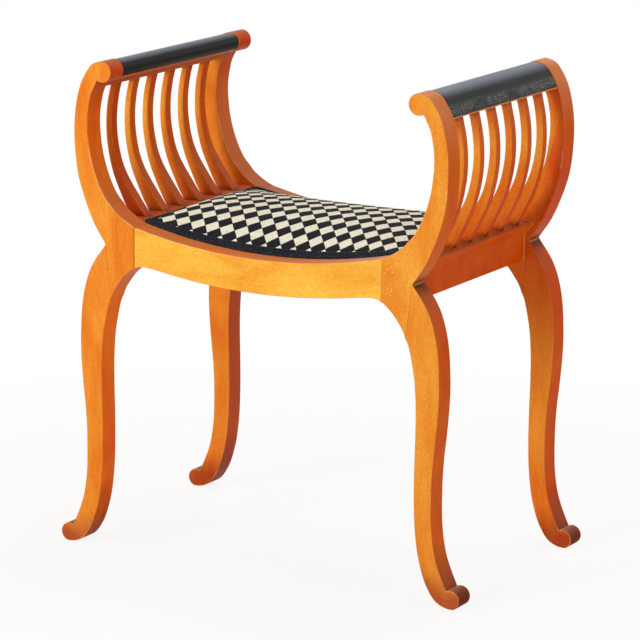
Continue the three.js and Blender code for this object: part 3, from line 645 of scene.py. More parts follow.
def diamonds(g, place, across, along):
    """Whether each place is in a cream diamond, 0 or 1, with soft edges and a thin black line between."""
    ragged = g.math("SUBTRACT", g.noise(place, *RAGGED_NOISE), 0.5)
    drift = g.math("SUBTRACT", g.noise(place, *DRIFT_NOISE), 0.5)
    shift = g.math("ADD", g.times(ragged, CHECK_WANDER), g.times(drift, CHECK_WANDER))
    u = g.math("ADD", g.math("DIVIDE", across, CHECK_ACROSS), shift)
    v = g.math("DIVIDE", along, CHECK_ALONG)
    one = g.math("SUBTRACT", g.math("PINGPONG", g.math("ADD", u, v), 1.0), 0.5)
    two = g.math("SUBTRACT", g.math("PINGPONG", g.math("SUBTRACT", u, v), 1.0), 0.5)
    first = g.band(one, -CHECK_SOFTNESS, CHECK_SOFTNESS)
    second = g.band(two, -CHECK_SOFTNESS, CHECK_SOFTNESS)
    cream = g.math("SUBTRACT", g.math("ADD", first, second), g.times(first, second, 2.0))
    from_edge = g.math("MINIMUM", g.math("ABSOLUTE", one), g.math("ABSOLUTE", two))
    return g.times(cream, g.band(from_edge, CHECK_MARGIN, CHECK_MARGIN + CHECK_SOFTNESS))


def check_fabric():
    """Woven diamonds in cream and black, laid out by the weave attribute, which follows the cloth."""
    g = Graph("check_fabric")
    weave = g.axes(g.attribute("weave")["Vector"])
    place = g.place()
    cream = diamonds(g, place, weave[0], weave[1])
    yarn = g.noise(place, *CHECK_YARN_NOISE)
    slub = g.noise(place, *SLUB_NOISE)
    yarn_share = g.band(yarn, *MIDDLE)
    pale = g.mix(g.band(slub, *SLUB_BAND), g.mix(yarn_share, *CREAM_COLOURS), CREAM_SLUB)
    colour = g.mix(cream, g.mix(yarn_share, *BLACK_COLOURS), pale)
    rib = g.math("SINE", g.times(weave[1], 2 * math.pi / RIB_PERIOD))
    height = g.math("ADD", g.times(rib, RIB_RELIEF), g.math("ADD", yarn, slub))
    return g.finish(colour, CHECK_ROUGHNESS, height, *CHECK_SURFACE)


def braid_cloth():
    g = Graph("black_braid")
    place = g.place()
    yarn = g.noise(place, *BRAID_NOISE)
    colour = g.mix(g.band(yarn, *BRAID_BAND), *BRAID_COLOURS)
    # Painted highlights on the loops.
    colour = g.mix(g.band(g.cells(place, LOOP_SCALE), *LOOP_BAND), colour, LOOP_HIGHLIGHT)
    return g.finish(colour, BRAID_ROUGHNESS, yarn, *BRAID_SURFACE)


def bare_wood(name, light, dark):
    g = Graph(name)
    streak = g.noise(g.place(), *BARE_NOISE)
    colour = g.mix(g.band(streak, *MIDDLE), dark, light)
    return g.finish(colour, BARE_ROUGHNESS, streak, *BARE_SURFACE)


def screw_steel():
    g = Graph("zinc_steel")
    blotch = g.noise(g.place(), *STEEL_NOISE)
    rough = g.band(blotch, *STEEL_ROUGHNESS)
    return g.shade({"Base Color": g.mix(blotch, *STEEL_COLOURS), "Roughness": rough, "Metallic": 1.0})


# Outlines of CAD boards.
def cad_faces(node):
    """The node's points, welded, and its triangles."""
    mesh = nodes[node].data
    mesh.calc_loop_triangles()
    points = np.array([v.co for v in mesh.vertices])
    faces = np.array([t.vertices for t in mesh.loop_triangles])
    keys = np.round(points / WELD).astype(int)
    _, first, inverse = np.unique(keys, axis=0, return_index=True, return_inverse=True)
    return points[first], inverse.reshape(-1)[faces]


def cap_outline(node, level):
    """The widest outline, in X and Z, of the node's flat face at this Y, anticlockwise."""
    points, faces = cad_faces(node)
    flat = np.abs(points[:, 1] - level) < WELD * 3
    cap = faces[flat[faces].all(axis=1)]
    count = Counter(tuple(sorted(edge)) for a, b, c in cap for edge in ((a, b), (b, c), (c, a)))
    neighbours = {}
    for (a, b), used in count.items():
        if used == 1:
            neighbours.setdefault(a, []).append(b)
            neighbours.setdefault(b, []).append(a)
    loops, seen = [], set()
    for start in neighbours:
        loop, onward = [], [start]
        while onward := [point for point in onward if point not in seen]:
            loop.append(onward[0])
            seen.add(onward[0])
            onward = neighbours[onward[0]]
        if loop:
            loops.append(points[loop][:, [0, 2]])
    widest = max(loops, key=lambda p: np.ptp(p[:, 0]) + np.ptp(p[:, 1]))
    following = np.roll(widest, -1, axis=0)
    area = np.sum(widest[:, 0] * following[:, 1] - widest[:, 1] * following[:, 0])
    return widest if area > 0 else widest[::-1]


def edge_vectors(loop):
    along = np.roll(loop, -1, axis=0) - loop
    length = np.linalg.norm(along, axis=1)
    return along / length[:, None], length


def inward_normals(along):
    """The direction inwards from the edge before each point and from the edge after it."""
    after = np.stack([-along[:, 1], along[:, 0]], axis=1)
    return np.roll(after, 1, axis=0), after


def offset(loop, distances):
    """The loop moved inwards, each edge by its own distance. A negative distance moves it outwards."""
    along, _ = edge_vectors(loop)
    moved = loop.copy()
    sides = zip(*inward_normals(along), np.roll(distances, 1), distances)
    for i, (n1, n2, d1, d2) in enumerate(sides):
        cross = n1[0] * n2[1] - n1[1] * n2[0]
        if abs(cross) > SQUARE_TURN:
            moved[i] += np.array([n2[1] * d1 - n1[1] * d2, n1[0] * d2 - n2[0] * d1]) / cross
        else:
            mean = n1 + n2
            moved[i] += mean / np.linalg.norm(mean) ** 2 * (d1 + d2)
    return moved


def inset_limits(loop):
    """How far each point of the loop can move inwards before it meets the other side or its neighbours."""
    along, length = edge_vectors(loop)
    before, inward = inward_normals(along)
    middle = before + inward
    middle /= np.linalg.norm(middle, axis=1)[:, None]
    away = loop[None] - loop[:, None]
    depth = np.einsum("ijk,ik->ij", away, middle)
    square = np.sum(away**2, axis=2)
    radius = np.where(depth > WELD, square / np.maximum(2 * depth, WELD), np.inf)
    turn = np.cross(np.roll(along, 1, axis=0), along)
    corner = np.abs(turn) > math.sin(CORNER_ANGLE)
    half_angle = (math.pi - np.arccos(np.clip(np.sum(before * inward, axis=1), -1, 1))) / 2
    shorter = np.minimum(length, np.roll(length, 1))
    at_corner = np.where(turn > 0, shorter * np.tan(half_angle), np.inf)
    limit = np.where(corner, at_corner, radius.min(axis=1)) * INSET_SHARE
    for _ in range(LIMIT_PASSES):
        before = np.roll(limit + length * LIMIT_SLOPE, 1)
        after = np.roll(limit, -1) + length * LIMIT_SLOPE
        limit = np.minimum(limit, np.minimum(before, after))
    return limit


def inset_points(loop, distances):
    """The loop with each point moved inwards by its own distance, measured square to its edges."""
    along, _ = edge_vectors(loop)
    before, inward = inward_normals(along)
    spread = np.maximum(1 + np.sum(before * inward, axis=1), LEAST_SPREAD)
    return loop + (before + inward) / spread[:, None] * distances[:, None]


def without_short_edges(loop, joint):
    kept = [0]
    for i in range(1, len(loop)):
        if np.linalg.norm(loop[i] - loop[kept[-1]]) > SHORT_EDGE:
            kept.append(i)
    return loop[kept], joint[kept]


def spline(points, step):
    """A smooth curve through the points, sampled at about the step. The last point is left out."""
    length = np.linalg.norm(np.diff(points, axis=0), axis=1)
    slopes = np.diff(points, axis=0) / length[:, None]
    tangents = np.empty_like(points)
    if len(points) > 2:
        before, after = length[:-1, None], length[1:, None]
        tangents[1:-1] = (slopes[:-1] * after + slopes[1:] * before) / (before + after)
        tangents[0] = 1.5 * slopes[0] - 0.5 * tangents[1]
        tangents[-1] = 1.5 * slopes[-1] - 0.5 * tangents[-2]
    else:
        tangents[:] = slopes[0]
    made = []
    for i, span in enumerate(length):
        count = max(1, round(span / step))
        t = (np.arange(count) / count)[:, None]
        made.append(
            points[i] * (2 * t**3 - 3 * t**2 + 1) + tangents[i] * span * (t**3 - 2 * t**2 + t)
            + points[i + 1] * (3 * t**2 - 2 * t**3) + tangents[i + 1] * span * (t**3 - t**2)
        )
    return np.concatenate(made)


def refined(loop, joint, step):
    """The loop with its rounds made smooth and its corners and joint lines kept."""
    along, _ = edge_vectors(loop)
    before = np.roll(along, 1, axis=0)
    turn = np.arccos(np.clip(np.sum(along * before, axis=1), -1, 1))
    corner = (turn > CORNER_ANGLE) | (joint != np.roll(joint, 1))
    starts = np.flatnonzero(corner)
    points, joints = [], []
    for k, start in enumerate(starts):
        end = starts[(k + 1) % len(starts)]
        run = np.arange(start, end + 1 if end > start else end + len(loop) + 1) % len(loop)
        piece = spline(loop[run], step)
        points.append(piece)
        joints.append(np.full(len(piece), joint[start]))
    return np.concatenate(points), np.concatenate(joints)


# Mesh making.
def new_piece(name, points, faces, material, attributes, replaced):
    mesh = bpy.data.meshes.new(name)
    mesh.from_pydata([tuple(p) for p in points], [], faces)
    for key, values in attributes.items():
        values = np.asarray(values, np.float32)
        kind = "FLOAT_VECTOR" if values.ndim == 2 else "FLOAT"
        made = mesh.attributes.new(key, kind, "POINT")
        made.data.foreach_set("vector" if kind == "FLOAT_VECTOR" else "value", values.ravel())
    mesh.polygons.foreach_set("use_smooth", np.ones(len(mesh.polygons), bool))
    mesh.materials.append(material)
    mesh.validate()
    piece = bpy.data.objects.new(name, mesh)
    bpy.context.scene.collection.objects.link(piece)
    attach(piece, "root")
    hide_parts(*replaced)
    return piece


def weighted(piece):
    piece.data.set_sharp_from_angle(angle=SHARP_ANGLE)
    made = piece.modifiers.new("even shading", "WEIGHTED_NORMAL")
    made.keep_sharp = True


def quads(rows, count, start=0, ring=False):
    """Faces between rows of points, each row closed. A ring also joins its last row to its first."""
    faces = []
    for r in range(rows if ring else rows - 1):
        a, b = start + r * count, start + (r + 1) % rows * count
        for i in range(count):
            j = (i + 1) % count
            faces.append((a + i, b + i, b + j, a + j) if ring else (a + i, a + j, b + j, b + i))
    return faces


def end_faces(rows, count):
    return [tuple(range(count))[::-1], tuple(range((rows - 1) * count, rows * count))]


def grain_places(points, angle, seed):
    """Places along and across the grain, which runs at the angle above level, shifted at random."""
    rng = np.random.default_rng(seed)
    along = np.array([math.cos(angle), 0, math.sin(angle)])
    across = np.array([-math.sin(angle), 0, math.cos(angle)])
    turned = np.stack([points @ along, points[:, 1], points @ across], axis=1)
    return turned + rng.uniform(-GRAIN_SHIFT, GRAIN_SHIFT, 3)


def glue_lines(loop):
    """How strongly each edge of a frame board's outline shows as a glue line."""
    _, length = edge_vectors(loop)
    near = np.abs(np.abs(loop[:, 0]) - RAIL_JOINT) < JOINT_REACH
    at_rail = near & np.roll(near, -1)
    at_rail_strength = np.where(loop[:, 0] < 0, RAIL_SEAM, PALE_SEAM)
    return np.where(at_rail, at_rail_strength, np.where(length > SPLICE_LENGTH, SPLICE_SEAM, 0.0))


def board_outline(node):
    """A frame board's full outline. The CAD face is inset by the arris, apart from its glue lines."""
    loop = cap_outline(node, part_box(node)[0].y)
    loop, seam = without_short_edges(loop, glue_lines(loop))
    return offset(loop, np.where(seam > 0, 0.0, -ARRIS)), seam


def plain_outline(node, level):
    loop = cap_outline(node, level)
    return loop, np.zeros(len(loop))


def nothing(points):
    return np.zeros(len(points))


def even(value):
    return lambda points: np.full(len(points), value)


def prism(name, node, outline, material, angle, seed, span=None, arris=ARRIS, tone_and_shade=nothing, dirt_shade_and_rub=nothing,
          wear=nothing, glue=nothing, step=OUTLINE_STEP):
    """A board with this outline, smooth rounds and eased edges, between two places in Y."""
    low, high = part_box(node)
    if span:
        low.y, high.y = span
    loop, seam = refined(*outline, step)
    limit = inset_limits(loop)
    strongest = np.maximum(seam, np.roll(seam, 1))
    edge = np.where(strongest == 0, arris, np.where(strongest < RAIL_SEAM, SPLICE_ARRIS, SEAM_ARRIS))
    edge = np.minimum(edge, limit * ARRIS_LIMIT_SHARE)
    near = edge + np.minimum(NEAR_ZONE, (limit - edge) / 2)
    zone = np.minimum(edge + EDGE_ZONE, limit)
    flat = np.zeros(len(loop))
    half = [(zone, flat, 0.0), (near, flat, 0.0)]
    for angle_down in np.linspace(0, math.pi / 2, ARRIS_STEPS + 1):
        half.append((edge * (1 - math.sin(angle_down)), edge * (1 - math.cos(angle_down)), 1.0))
    thickness = high.y - low.y
    half.append((flat, edge + NEAR_ZONE, 0.0))
    half.append((flat, np.full(len(loop), min(arris + EDGE_ZONE, thickness / 2)), 0.0))
    rows, shown = [], []
    for inset, depth, share in half:
        ring = inset_points(loop, inset)
        rows.append(np.stack([ring[:, 0], low.y + depth, ring[:, 1]], axis=1))
        shown.append(np.full(len(loop), share))
    far = [np.stack([r[:, 0], low.y + high.y - r[:, 1], r[:, 2]], axis=1) for r in rows[::-1]]
    points = np.concatenate(rows + far)
    points[:, 2] = np.maximum(points[:, 2], 0.0)
    shown = np.concatenate(shown + shown[::-1])
    rings = len(rows) * 2
    count = len(loop)
    faces = quads(rings, count) + end_faces(rings, count)
    joined = np.tile(seam, rings)
    attributes = {
        "grain": grain_places(points, angle, seed),
        "edge": np.where(joined > 0, 0.0, shown) * wear(points),
        "glue": glue(points),
        "seam": joined * shown,
        "tone_and_shade": tone_and_shade(points),
        "dirt_shade_and_rub": dirt_shade_and_rub(points),
    }
    weighted(new_piece(name, points, faces, material, attributes, [node]))


# Slats.
def fading(distance, amount, reach):
    """The amount at no distance, less as the distance grows, and 0 from the reach on."""
    return max(0, amount * (1 - distance / reach))


def rounded_section(inner_half, outer_half, radius, thickness):
    """A slat's section: share of the way from inner to outer face, place in Y, and wear at the corners."""
    points = []
    corners = ((0, 1, inner_half), (0, -1, inner_half), (1, -1, outer_half), (1, 1, outer_half))
    for k, (outer, side, half) in enumerate(corners):
        for i in range(SLAT_CORNER_STEPS + 1):
            turn = i / SLAT_CORNER_STEPS * math.pi / 2
            along, across = 1 - math.cos(turn), 1 - math.sin(turn)
            if k % 2 == 0:
                along, across = across, along
            share = radius * along / thickness
            y, wear = side * (half - radius * across), math.sin(2 * turn)
            points.append((1 - share if outer else share, y, wear))
    return points


def slat_stations(node):
    """The slat's inner and outer face lines, in X and Z, with its middle and half widths in Y."""
    points, _ = cad_faces(node)
    middle = (points[:, 1].min() + points[:, 1].max()) / 2
    away = np.abs(points[:, 1] - middle)
    inner_half = away.max()
    outer_half = np.unique(np.round(away[away < inner_half - WELD], 5))[-1]

    def face_line(half, shift):
        line = points[(np.abs(away - half) < 2 * WELD) & (points[:, 1] > middle)]
        line = line[np.argsort(line[:, 2])]
        return np.column_stack([np.abs(line[:, 0]) + shift, line[:, 2]])

    both = np.hstack([face_line(inner_half, -SLAT_ARRIS), face_line(outer_half, SLAT_ARRIS)])
    return np.vstack([spline(both, SLAT_STEP), both[-1]]), middle, inner_half, outer_half


def build_slat(side, sign, number, material, seed):
    node = f"{side}_slat_{number}"
    # The first slat on the left is redder: painted shade of the front arm.
    base_tone = SLAT_TONES_AND_SHADE.get((side, number), SLAT_TONE)
    stations, middle, inner_half, outer_half = slat_stations(node)
    foot, head = stations[0, 1], stations[-1, 1]
    places, wear, dirt_shade_and_rub, tones_and_shade = [], [], [], []
    for inner_x, inner_z, outer_x, outer_z in stations:
        thickness = math.hypot(outer_x - inner_x, outer_z - inner_z)
        for share, y, worn in rounded_section(inner_half, outer_half, SLAT_CORNER, thickness):
            x = inner_x + (outer_x - inner_x) * share
            z = inner_z + (outer_z - inner_z) * share
            places.append((sign * x, middle + y, z))
            wear.append(worn)
            # Dirt and painted shade at both ends of the slat.
            dirt_shade_and_rub.append(max(fading(z - foot, *SLAT_FOOT_DIRT_AND_SHADE), fading(head - z, *SLAT_HEAD_DIRT_AND_SHADE)))
            # Painted shade: redder towards the foot and under the crest.
            foot_shade = SLAT_FOOT_SHADE[side] * (1 - (z - foot) / (head - foot)) ** SLAT_FOOT_FADE
            tones_and_shade.append(base_tone + foot_shade + fading(head - z, *SLAT_HEAD_SHADE))
    places = np.array(places)
    count = len(places) // len(stations)
    faces = quads(len(stations), count) + end_faces(len(stations), count)
    if sign > 0:
        faces = [face[::-1] for face in faces]
    attributes = {
        "grain": grain_places(places, math.pi / 2, seed),
        "edge": np.array(wear) * SLAT_WEAR,
        "seam": np.zeros(len(places)),
        "tone_and_shade": np.array(tones_and_shade),
        "dirt_shade_and_rub": np.array(dirt_shade_and_rub),
    }
    name = f"{side}_bowed_slat_{number}"
    weighted(new_piece(name, places, faces, material, attributes, [node]))


# Crest rails.
def ramp(values, amount, start, reach):
    """From 0 at the start to the amount at the reach past it. A negative reach runs the other way."""
    return amount * np.clip((values - start) / reach, 0, 1)


def build_crest(side, sign, material, cover, seed):
    rail, cloth = f"{side}_crest_rail", f"{side}_crest_cloth"
    reach = -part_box(f"{side}_end_rail")[0].y
    loop, _ = plain_outline(rail, -reach)
    lowest = np.argmax(np.abs(loop[:, 0]) - loop[:, 1])
    corner = loop[lowest].copy()
    neighbours = [loop[(lowest + 1) % len(loop)], loop[lowest - 1]]
    upper = max(neighbours, key=lambda p: p[1])
    up = (upper - corner) / np.linalg.norm(upper - corner)
    out = np.array([up[1], -up[0]]) * (1 if up[1] * sign > 0 else -1)
    lip = [corner + out * CREST_LIP, corner + out * CREST_LIP + up * CREST_LIP_HEIGHT,
           corner + up * CREST_LIP_HEIGHT]
    if np.allclose(upper, neighbours[1]):
        lip = lip[::-1]
    loop = np.vstack([loop[:lowest], lip, loop[lowest + 1:]])

    def pale_lip(p):
        above, strength = CREST_LIP_GLUE
        on_lip = (p[:, 0] > 0) & (p[:, 2] < corner[1] + CREST_LIP_HEIGHT + above)
        return np.where(on_lip, strength, 0.0)

    # Dirt and painted shade along the crease at the cover's lower edge.
    def corner_dirt_and_shade(p):
        return ramp(np.abs(p[:, 2] - corner[1]), *CREST_DIRT_AND_SHADE)

    prism(f"{side}_crest_board", rail, (loop, np.zeros(len(loop))), material, 0.0, seed,
          span=(-reach, reach), arris=CREST_ARRIS, tone_and_shade=even(CREST_TONE), glue=pale_lip, dirt_shade_and_rub=corner_dirt_and_shade)

    loop, seam = plain_outline(cloth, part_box(cloth)[0].y)
    bottom = loop[:, 1] < corner[1] + COVER_FOOT
    loop[bottom] += up * (CREST_LIP_HEIGHT + COVER_LIFT)

    def rubbed(p):
        return ramp(np.abs(p[:, 2] - corner[1] - RUBBED_HEIGHT), *RUBBED) * (np.abs(p[:, 0]) > RUBBED_FROM)

    prism(f"{side}_crest_cover", cloth, (loop, seam), cover, 0.0, seed, arris=COVER_ARRIS,
          dirt_shade_and_rub=rubbed, step=COVER_STEP)


# The pad and its braid.
def pad_height(x, y):
    along, across = np.abs(x / PAD_HALF_LENGTH), np.abs(y / PAD_HALF_WIDTH)
    edge = PAD_EDGE_MIDDLE + (PAD_EDGE_CORNER - PAD_EDGE_MIDDLE) * along**2
    sag = PAD_END_SAG * (1 - across**2) * along**4
    crown = PAD_CROWN + PAD_CROWN_RISE * along**2 - edge
    return edge - sag + crown * (1 - across**PAD_SIDE_POWER) * (1 - along**PAD_END_POWER)


def seat_ring(inset):
    """A rounded rectangle in X and Y, anticlockwise, inset from the pad's edge."""
    length = PAD_HALF_LENGTH - inset - PAD_CORNER
    width = PAD_HALF_WIDTH - inset - PAD_CORNER
    corners = ((1, 1, (-1, 0)), (-1, 1, (0, -1)), (-1, -1, (1, 0)), (1, -1, (0, 1)))
    points = []
    for k, (sx, sy, (dx, dy)) in enumerate(corners):
        for a in np.linspace(k * math.pi / 2, (k + 1) * math.pi / 2, PAD_CORNER_POINTS):
            points.append((sx * length + PAD_CORNER * math.cos(a), sy * width + PAD_CORNER * math.sin(a)))
        half, full_half = (length, PAD_HALF_LENGTH) if k % 2 == 0 else (width, PAD_HALF_WIDTH)
        x, y = points[-1]
        count = round(2 * full_half / PAD_STEP)
        for i in range(1, count):
            points.append((x + dx * 2 * half * i / count, y + dy * 2 * half * i / count))
    return np.array(points)


def cloth_length(start, end):
    """The length along the cloth from each start to its end, places in X and Y, with the sign of the way."""
    shares = np.linspace(0, 1, CLOTH_STEPS + 1)[:, None, None]
    places = start + (end - start) * shares
    heights = pad_height(places[..., 0], places[..., 1])
    level = np.linalg.norm(np.diff(places, axis=0), axis=2)
    return np.hypot(level, np.diff(heights, axis=0)).sum(axis=0) * np.sign((end - start).sum(axis=1))


def build_pad(material):
    side, top = seat_ring(PAD_SIDE_INSET), seat_ring(PAD_TOP_INSET)
    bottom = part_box("seat_pad")[0].z
    rings = [np.column_stack([top, np.full(len(top), bottom)])]
    for drop in PAD_SIDE_DROPS:
        rings.append(np.column_stack([side, pad_height(*side.T) - drop]))
    for k in range(PAD_RINGS):
        ring = top * (1 - k / PAD_RINGS)
        rings.append(np.column_stack([ring, pad_height(*ring.T)]))
    points = np.concatenate(rings)
    count = len(side)
    faces = quads(len(rings), count)
    points = np.vstack([points, [0, 0, bottom], [0, 0, pad_height(np.zeros(1), np.zeros(1))[0]]])
    bottom_index, top_index = len(points) - 2, len(points) - 1
    last = (len(rings) - 1) * count
    for i in range(count):
        j = (i + 1) % count
        faces.append((bottom_index, j, i))
        faces.append((top_index, last + i, last + j))
    places = points[:, :2]
    tip = cloth_length(np.zeros((1, 2)), np.array([[0, CHECK_TIP]]))[0]
    along = cloth_length(places * (1, 0), places) - tip
    across = cloth_length(places * (0, 1), places)
    weave = np.column_stack([across - CHECK_START, along, np.zeros(len(points))])
    piece = new_piece("seat_cushion", points, faces, material, {"weave": weave}, ["seat_pad"])


def even_loop(points, step):
    """A closed line through the points, at even steps, with each place along it and its length."""
    closed = np.vstack([points, points[:1]])
    length = np.concatenate([[0], np.cumsum(np.linalg.norm(np.diff(closed, axis=0), axis=1))])
    count = round(length[-1] / step)
    places = np.arange(count) / count * length[-1]
    return np.column_stack([np.interp(places, length, closed[:, k]) for k in (0, 1)]), places, length[-1]


def braid_frame():
    """Places along the middle of the braid, with the directions across it and up from the cloth."""
    flat, places, length = even_loop(seat_ring(BRAID_WIDTH / 2), BRAID_STEP)
    height = pad_height(flat[:, 0], flat[:, 1])
    centre = np.column_stack([flat, height])
    along = np.roll(centre, -1, axis=0) - np.roll(centre, 1, axis=0)
    along /= np.linalg.norm(along, axis=1)[:, None]
    level = np.column_stack([-along[:, 1], along[:, 0], np.zeros(len(along))])
    inner = flat + level[:, :2] * BRAID_PROBE
    rise = pad_height(inner[:, 0], inner[:, 1]) - height
    across = level * BRAID_PROBE + np.column_stack([np.zeros((len(flat), 2)), rise])
    across /= np.linalg.norm(across, axis=1)[:, None]
    up = np.cross(along, across)
    return centre, across, up, places, length


def swept(centre, across, up, section):
    """Rings of a closed tube: the section's places across and up at each point of the centre line."""
    rings = [centre + across * a + up * b for a, b in section]
    return np.stack(rings, axis=1).reshape(-1, 3)


def build_braid(material):
    centre, across, up, places, length = braid_frame()
    half, shoulder = BRAID_WIDTH / 2, BRAID_WIDTH / 2 * BRAID_SHOULDER
    band = [(-half, BRAID_SKIRT), (half, -BRAID_THICKNESS), (half, BRAID_RISE / 2), (shoulder, BRAID_RISE),
            (-shoulder, BRAID_RISE), (-half, BRAID_RISE / 2)]
    ribbon = swept(centre, across, up, band[::-1])
    outer_corner = centre - across * half
    ribbon[len(band) - 1::len(band)] = outer_corner + [0, 0, BRAID_SKIRT]
    points, faces = [ribbon], quads(len(centre), len(band), ring=True)

    def add_cord(line, radius):
        start = sum(len(p) for p in points)
        turns = [k * 2 * math.pi / CORD_SIDES for k in range(CORD_SIDES)]
        circle = [(radius * math.cos(turn), radius * math.sin(turn)) for turn in turns]
        points.append(swept(line, across, up, circle[::-1]))
        faces.extend(quads(len(line), CORD_SIDES, start, ring=True))

    for side in (-1, 1):
        add_cord(centre + across * side * EDGE_CORD_REACH + up * EDGE_CORD_LIFT, EDGE_CORD_RADIUS)
    periods = round(length / PLAIT_PERIOD)
    for strand in range(STRANDS):
        phase = places / length * periods * 2 * math.pi + strand * 2 * math.pi / STRANDS
        sideways = PLAIT_REACH * np.sin(phase)
        lift = PLAIT_HEIGHT + PLAIT_LIFT * np.sin(2 * phase)
        add_cord(centre + across * sideways[:, None] + up * lift[:, None], PLAIT_RADIUS)
    new_piece("seat_gimp", np.concatenate(points), faces, material, {}, ["seat_braid"])


def dress_hidden_parts(materials):
    """Plain materials for the CAD pieces that no dressed piece replaces."""
    for node, piece in nodes.items():
        if piece.hide_render:
            continue
        name = "plywood" if node == "seat_board" else "steel" if "screw" in node else "bare"
        piece.data.materials.clear()
        piece.data.materials.append(materials[name])


# Redness with painted shade, wear, and dirt with painted shade, of the frame boards and end rails, for
# points given in X, Y and Z.
def on_wall(p):
    """Whether each point is on a frame board's wall, past its eased edges."""
    return np.abs(np.abs(p[:, 1]) - FRAME_MIDDLE) < WALL_HALF


# The back rail is redder: painted shade.
def rail_tone_and_shade(back):
    return lambda p: RAIL_TONE + back - ramp(p[:, 0], *RAIL_FADE) + RAIL_WALL_TONE * on_wall(p)


def outer_share(p):
    """How near each point is to the outer edge of its board, 0 or 1, told from its neighbours in height."""
    level = np.digitize(p[:, 2], OUTER_LEVELS)
    reach = np.abs(p[:, 0])
    mean = np.bincount(level, reach) / np.maximum(np.bincount(level), 1)
    return (reach > mean[level]) * 1.0


def arm_tone_and_shade(sign, back):
    """The arm's redness, with painted shade on the back arms. The back right one is redder still where the
    end rail and the slats shade it: painted shade, strongest along its outer edge.
    """

    def tone_and_shade(p):
        base = ARM_TONE[sign] - sign * ramp(p[:, 2], *ARM_FOOT_TONE)
        if sign < 0:
            return base + ARM_BACK_SHARE * back + on_wall(p) * ramp(p[:, 2], *SCROLL_TONE)
        on_face = (p[:, 2] > OUTER_FROM) & (p[:, 1] < FRAME_INSIDE + OUTER_DEPTH)
        shaded = ramp(p[:, 2], *SHADED_TONE) + OUTER_SHADE * outer_share(p) * on_face
        return base + back * (1 + shaded)

    return tone_and_shade


# Painted shade reddens the back legs, the back right one most at its head, under the seat. That one is also
# redder towards its foot.
def leg_tone_and_shade(sign, back):
    base = LEG_TONE[sign] + LEG_BACK_SHARE[sign] * back

    def tone_and_shade(p):
        if sign < 0:
            return base + ramp(np.abs(p[:, 2] - LEG_MIDDLE), *LEG_END_TONE)
        return base + back * (ramp(p[:, 2], *LEG_HEAD_SHADE) + ramp(p[:, 2], *LEG_FOOT_TONE))

    return tone_and_shade


def past(axis, limit, above=1.0, below=0.0):
    """One value past the limit on this axis, and another up to it."""
    return lambda p: np.where(p[:, axis] > limit, above, below)


def arm_wear(p):
    """The inner edge is worn below the middle of the arm, and the outer one a little."""
    low, high = ARM_WEAR_HEIGHTS
    inner = np.abs(p[:, 0]) < RAIL_JOINT + ARM_WEAR_REACH + ramp(p[:, 2], *ARM_WEAR_FLARE)
    return np.where(inner & (p[:, 2] < high) & (p[:, 2] > low), *ARM_WEAR)


# Dirt and painted shade, darker towards the top, where the slats stand.
def end_rail_dirt_and_shade(p):
    return ramp(p[:, 2], *END_RAIL_DIRT_AND_SHADE)


def notch_glue(p):
    """A pale line of old glue in the crease of each notch, short of the faces."""
    at_notch = np.hypot(np.abs(p[:, 0]) - NOTCH[0], p[:, 2] - NOTCH[1]) < NOTCH_GLUE_REACH
    between_faces = np.abs(np.abs(p[:, 1]) - FRAME_MIDDLE) < GLUE_HALF
    return np.where(at_notch & between_faces, NOTCH_GLUE, 0.0)


def notch_dirt_and_shade(p):
    """Dirt and painted shade on the walls, in the crease under each notch and round the toes."""
    away = np.hypot(np.abs(p[:, 0]) - NOTCH[0], p[:, 2] - NOTCH[1] + NOTCH_DIRT_AND_SHADE_DROP)
    toe = ramp(np.abs(p[:, 0]), *TOE_DIRT_AND_SHADE) * ramp(p[:, 2], *TOE_DIRT_AND_SHADE_LOW)
    return on_wall(p) * np.maximum(ramp(away, *NOTCH_DIRT_AND_SHADE), toe)


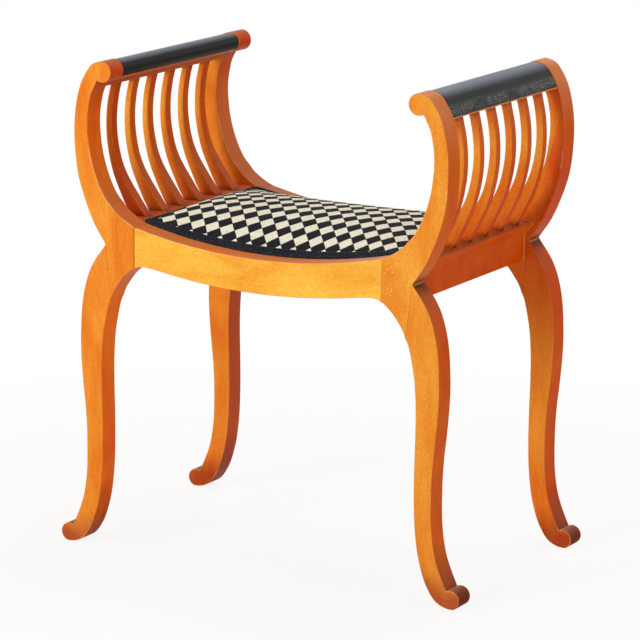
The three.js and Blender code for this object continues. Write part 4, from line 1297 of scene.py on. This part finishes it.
def build_frame(place, wood_plain, wood_marked, seed):
    """A rail, two arms and two legs, each with its own grain. The seed after the last one is returned."""
    # The back frame is redder: painted shade.
    back = BACK_SHADE if place == "back" else 0.0
    node = f"{place}_rail"
    prism(f"{node}_board", node, board_outline(node), wood_plain, 0.0, seed,
          tone_and_shade=rail_tone_and_shade(back), wear=past(2, *RAIL_WEAR), glue=past(0, RAIL_GLUE_FROM))
    for side, sign in SIDES:
        seed += 1
        angle = math.pi / 2 - sign * LEG_GRAIN_LEAN
        arm, leg = f"{place}_{side}_arm", f"{place}_{side}_leg"
        arm_wood = wood_marked if place == "front" else wood_plain
        prism(f"{arm}_board", arm, board_outline(arm), arm_wood, angle, seed,
              tone_and_shade=arm_tone_and_shade(sign, back), dirt_shade_and_rub=notch_dirt_and_shade, wear=arm_wear)
        prism(f"{leg}_board", leg, board_outline(leg), wood_plain, angle, seed,
              tone_and_shade=leg_tone_and_shade(sign, back), dirt_shade_and_rub=notch_dirt_and_shade, wear=past(2, *LEG_WEAR), glue=notch_glue)
    return seed + 1


def build_end(side, sign, wood_plain, cover, seed):
    """An end rail, a crest rail and its cover, and six slats. The next end's seed is returned."""
    node = f"{side}_end_rail"
    prism(f"{node}_board", node, plain_outline(node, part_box(node)[0].y), wood_plain, 0.0, seed,
          tone_and_shade=even(END_RAIL_TONE), wear=even(END_RAIL_WEAR), dirt_shade_and_rub=end_rail_dirt_and_shade,
          glue=past(1, END_RAIL_GLUE_FROM))
    build_crest(side, sign, wood_plain, cover, seed + 1)
    for number in SLATS:
        build_slat(side, sign, number, wood_plain, seed + 1 + number)
    return seed + len(SLATS) + 3


make_camera()
make_floor()
make_world()
for lamp in LAMPS:
    make_lamp(*lamp)

beech = wood("stained_beech")
marked_beech = wood("stained_beech_marked", FILLER_SPECKS, KNOTS)
leather = leathercloth()
fabric = check_fabric()
braid = braid_cloth()
hidden = {
    "bare": bare_wood("bare_beech", *BEECH_COLOURS),
    "plywood": bare_wood("plywood", *PLYWOOD_COLOURS),
    "steel": screw_steel(),
}

next_seed = FIRST_SEED
for place in FRAMES:
    next_seed = build_frame(place, beech, marked_beech, next_seed)
for side, sign in SIDES:
    next_seed = build_end(side, sign, beech, leather, next_seed)
build_pad(fabric)
build_braid(braid)
dress_hidden_parts(hidden)

bpy.context.scene.view_settings.view_transform = "Standard"
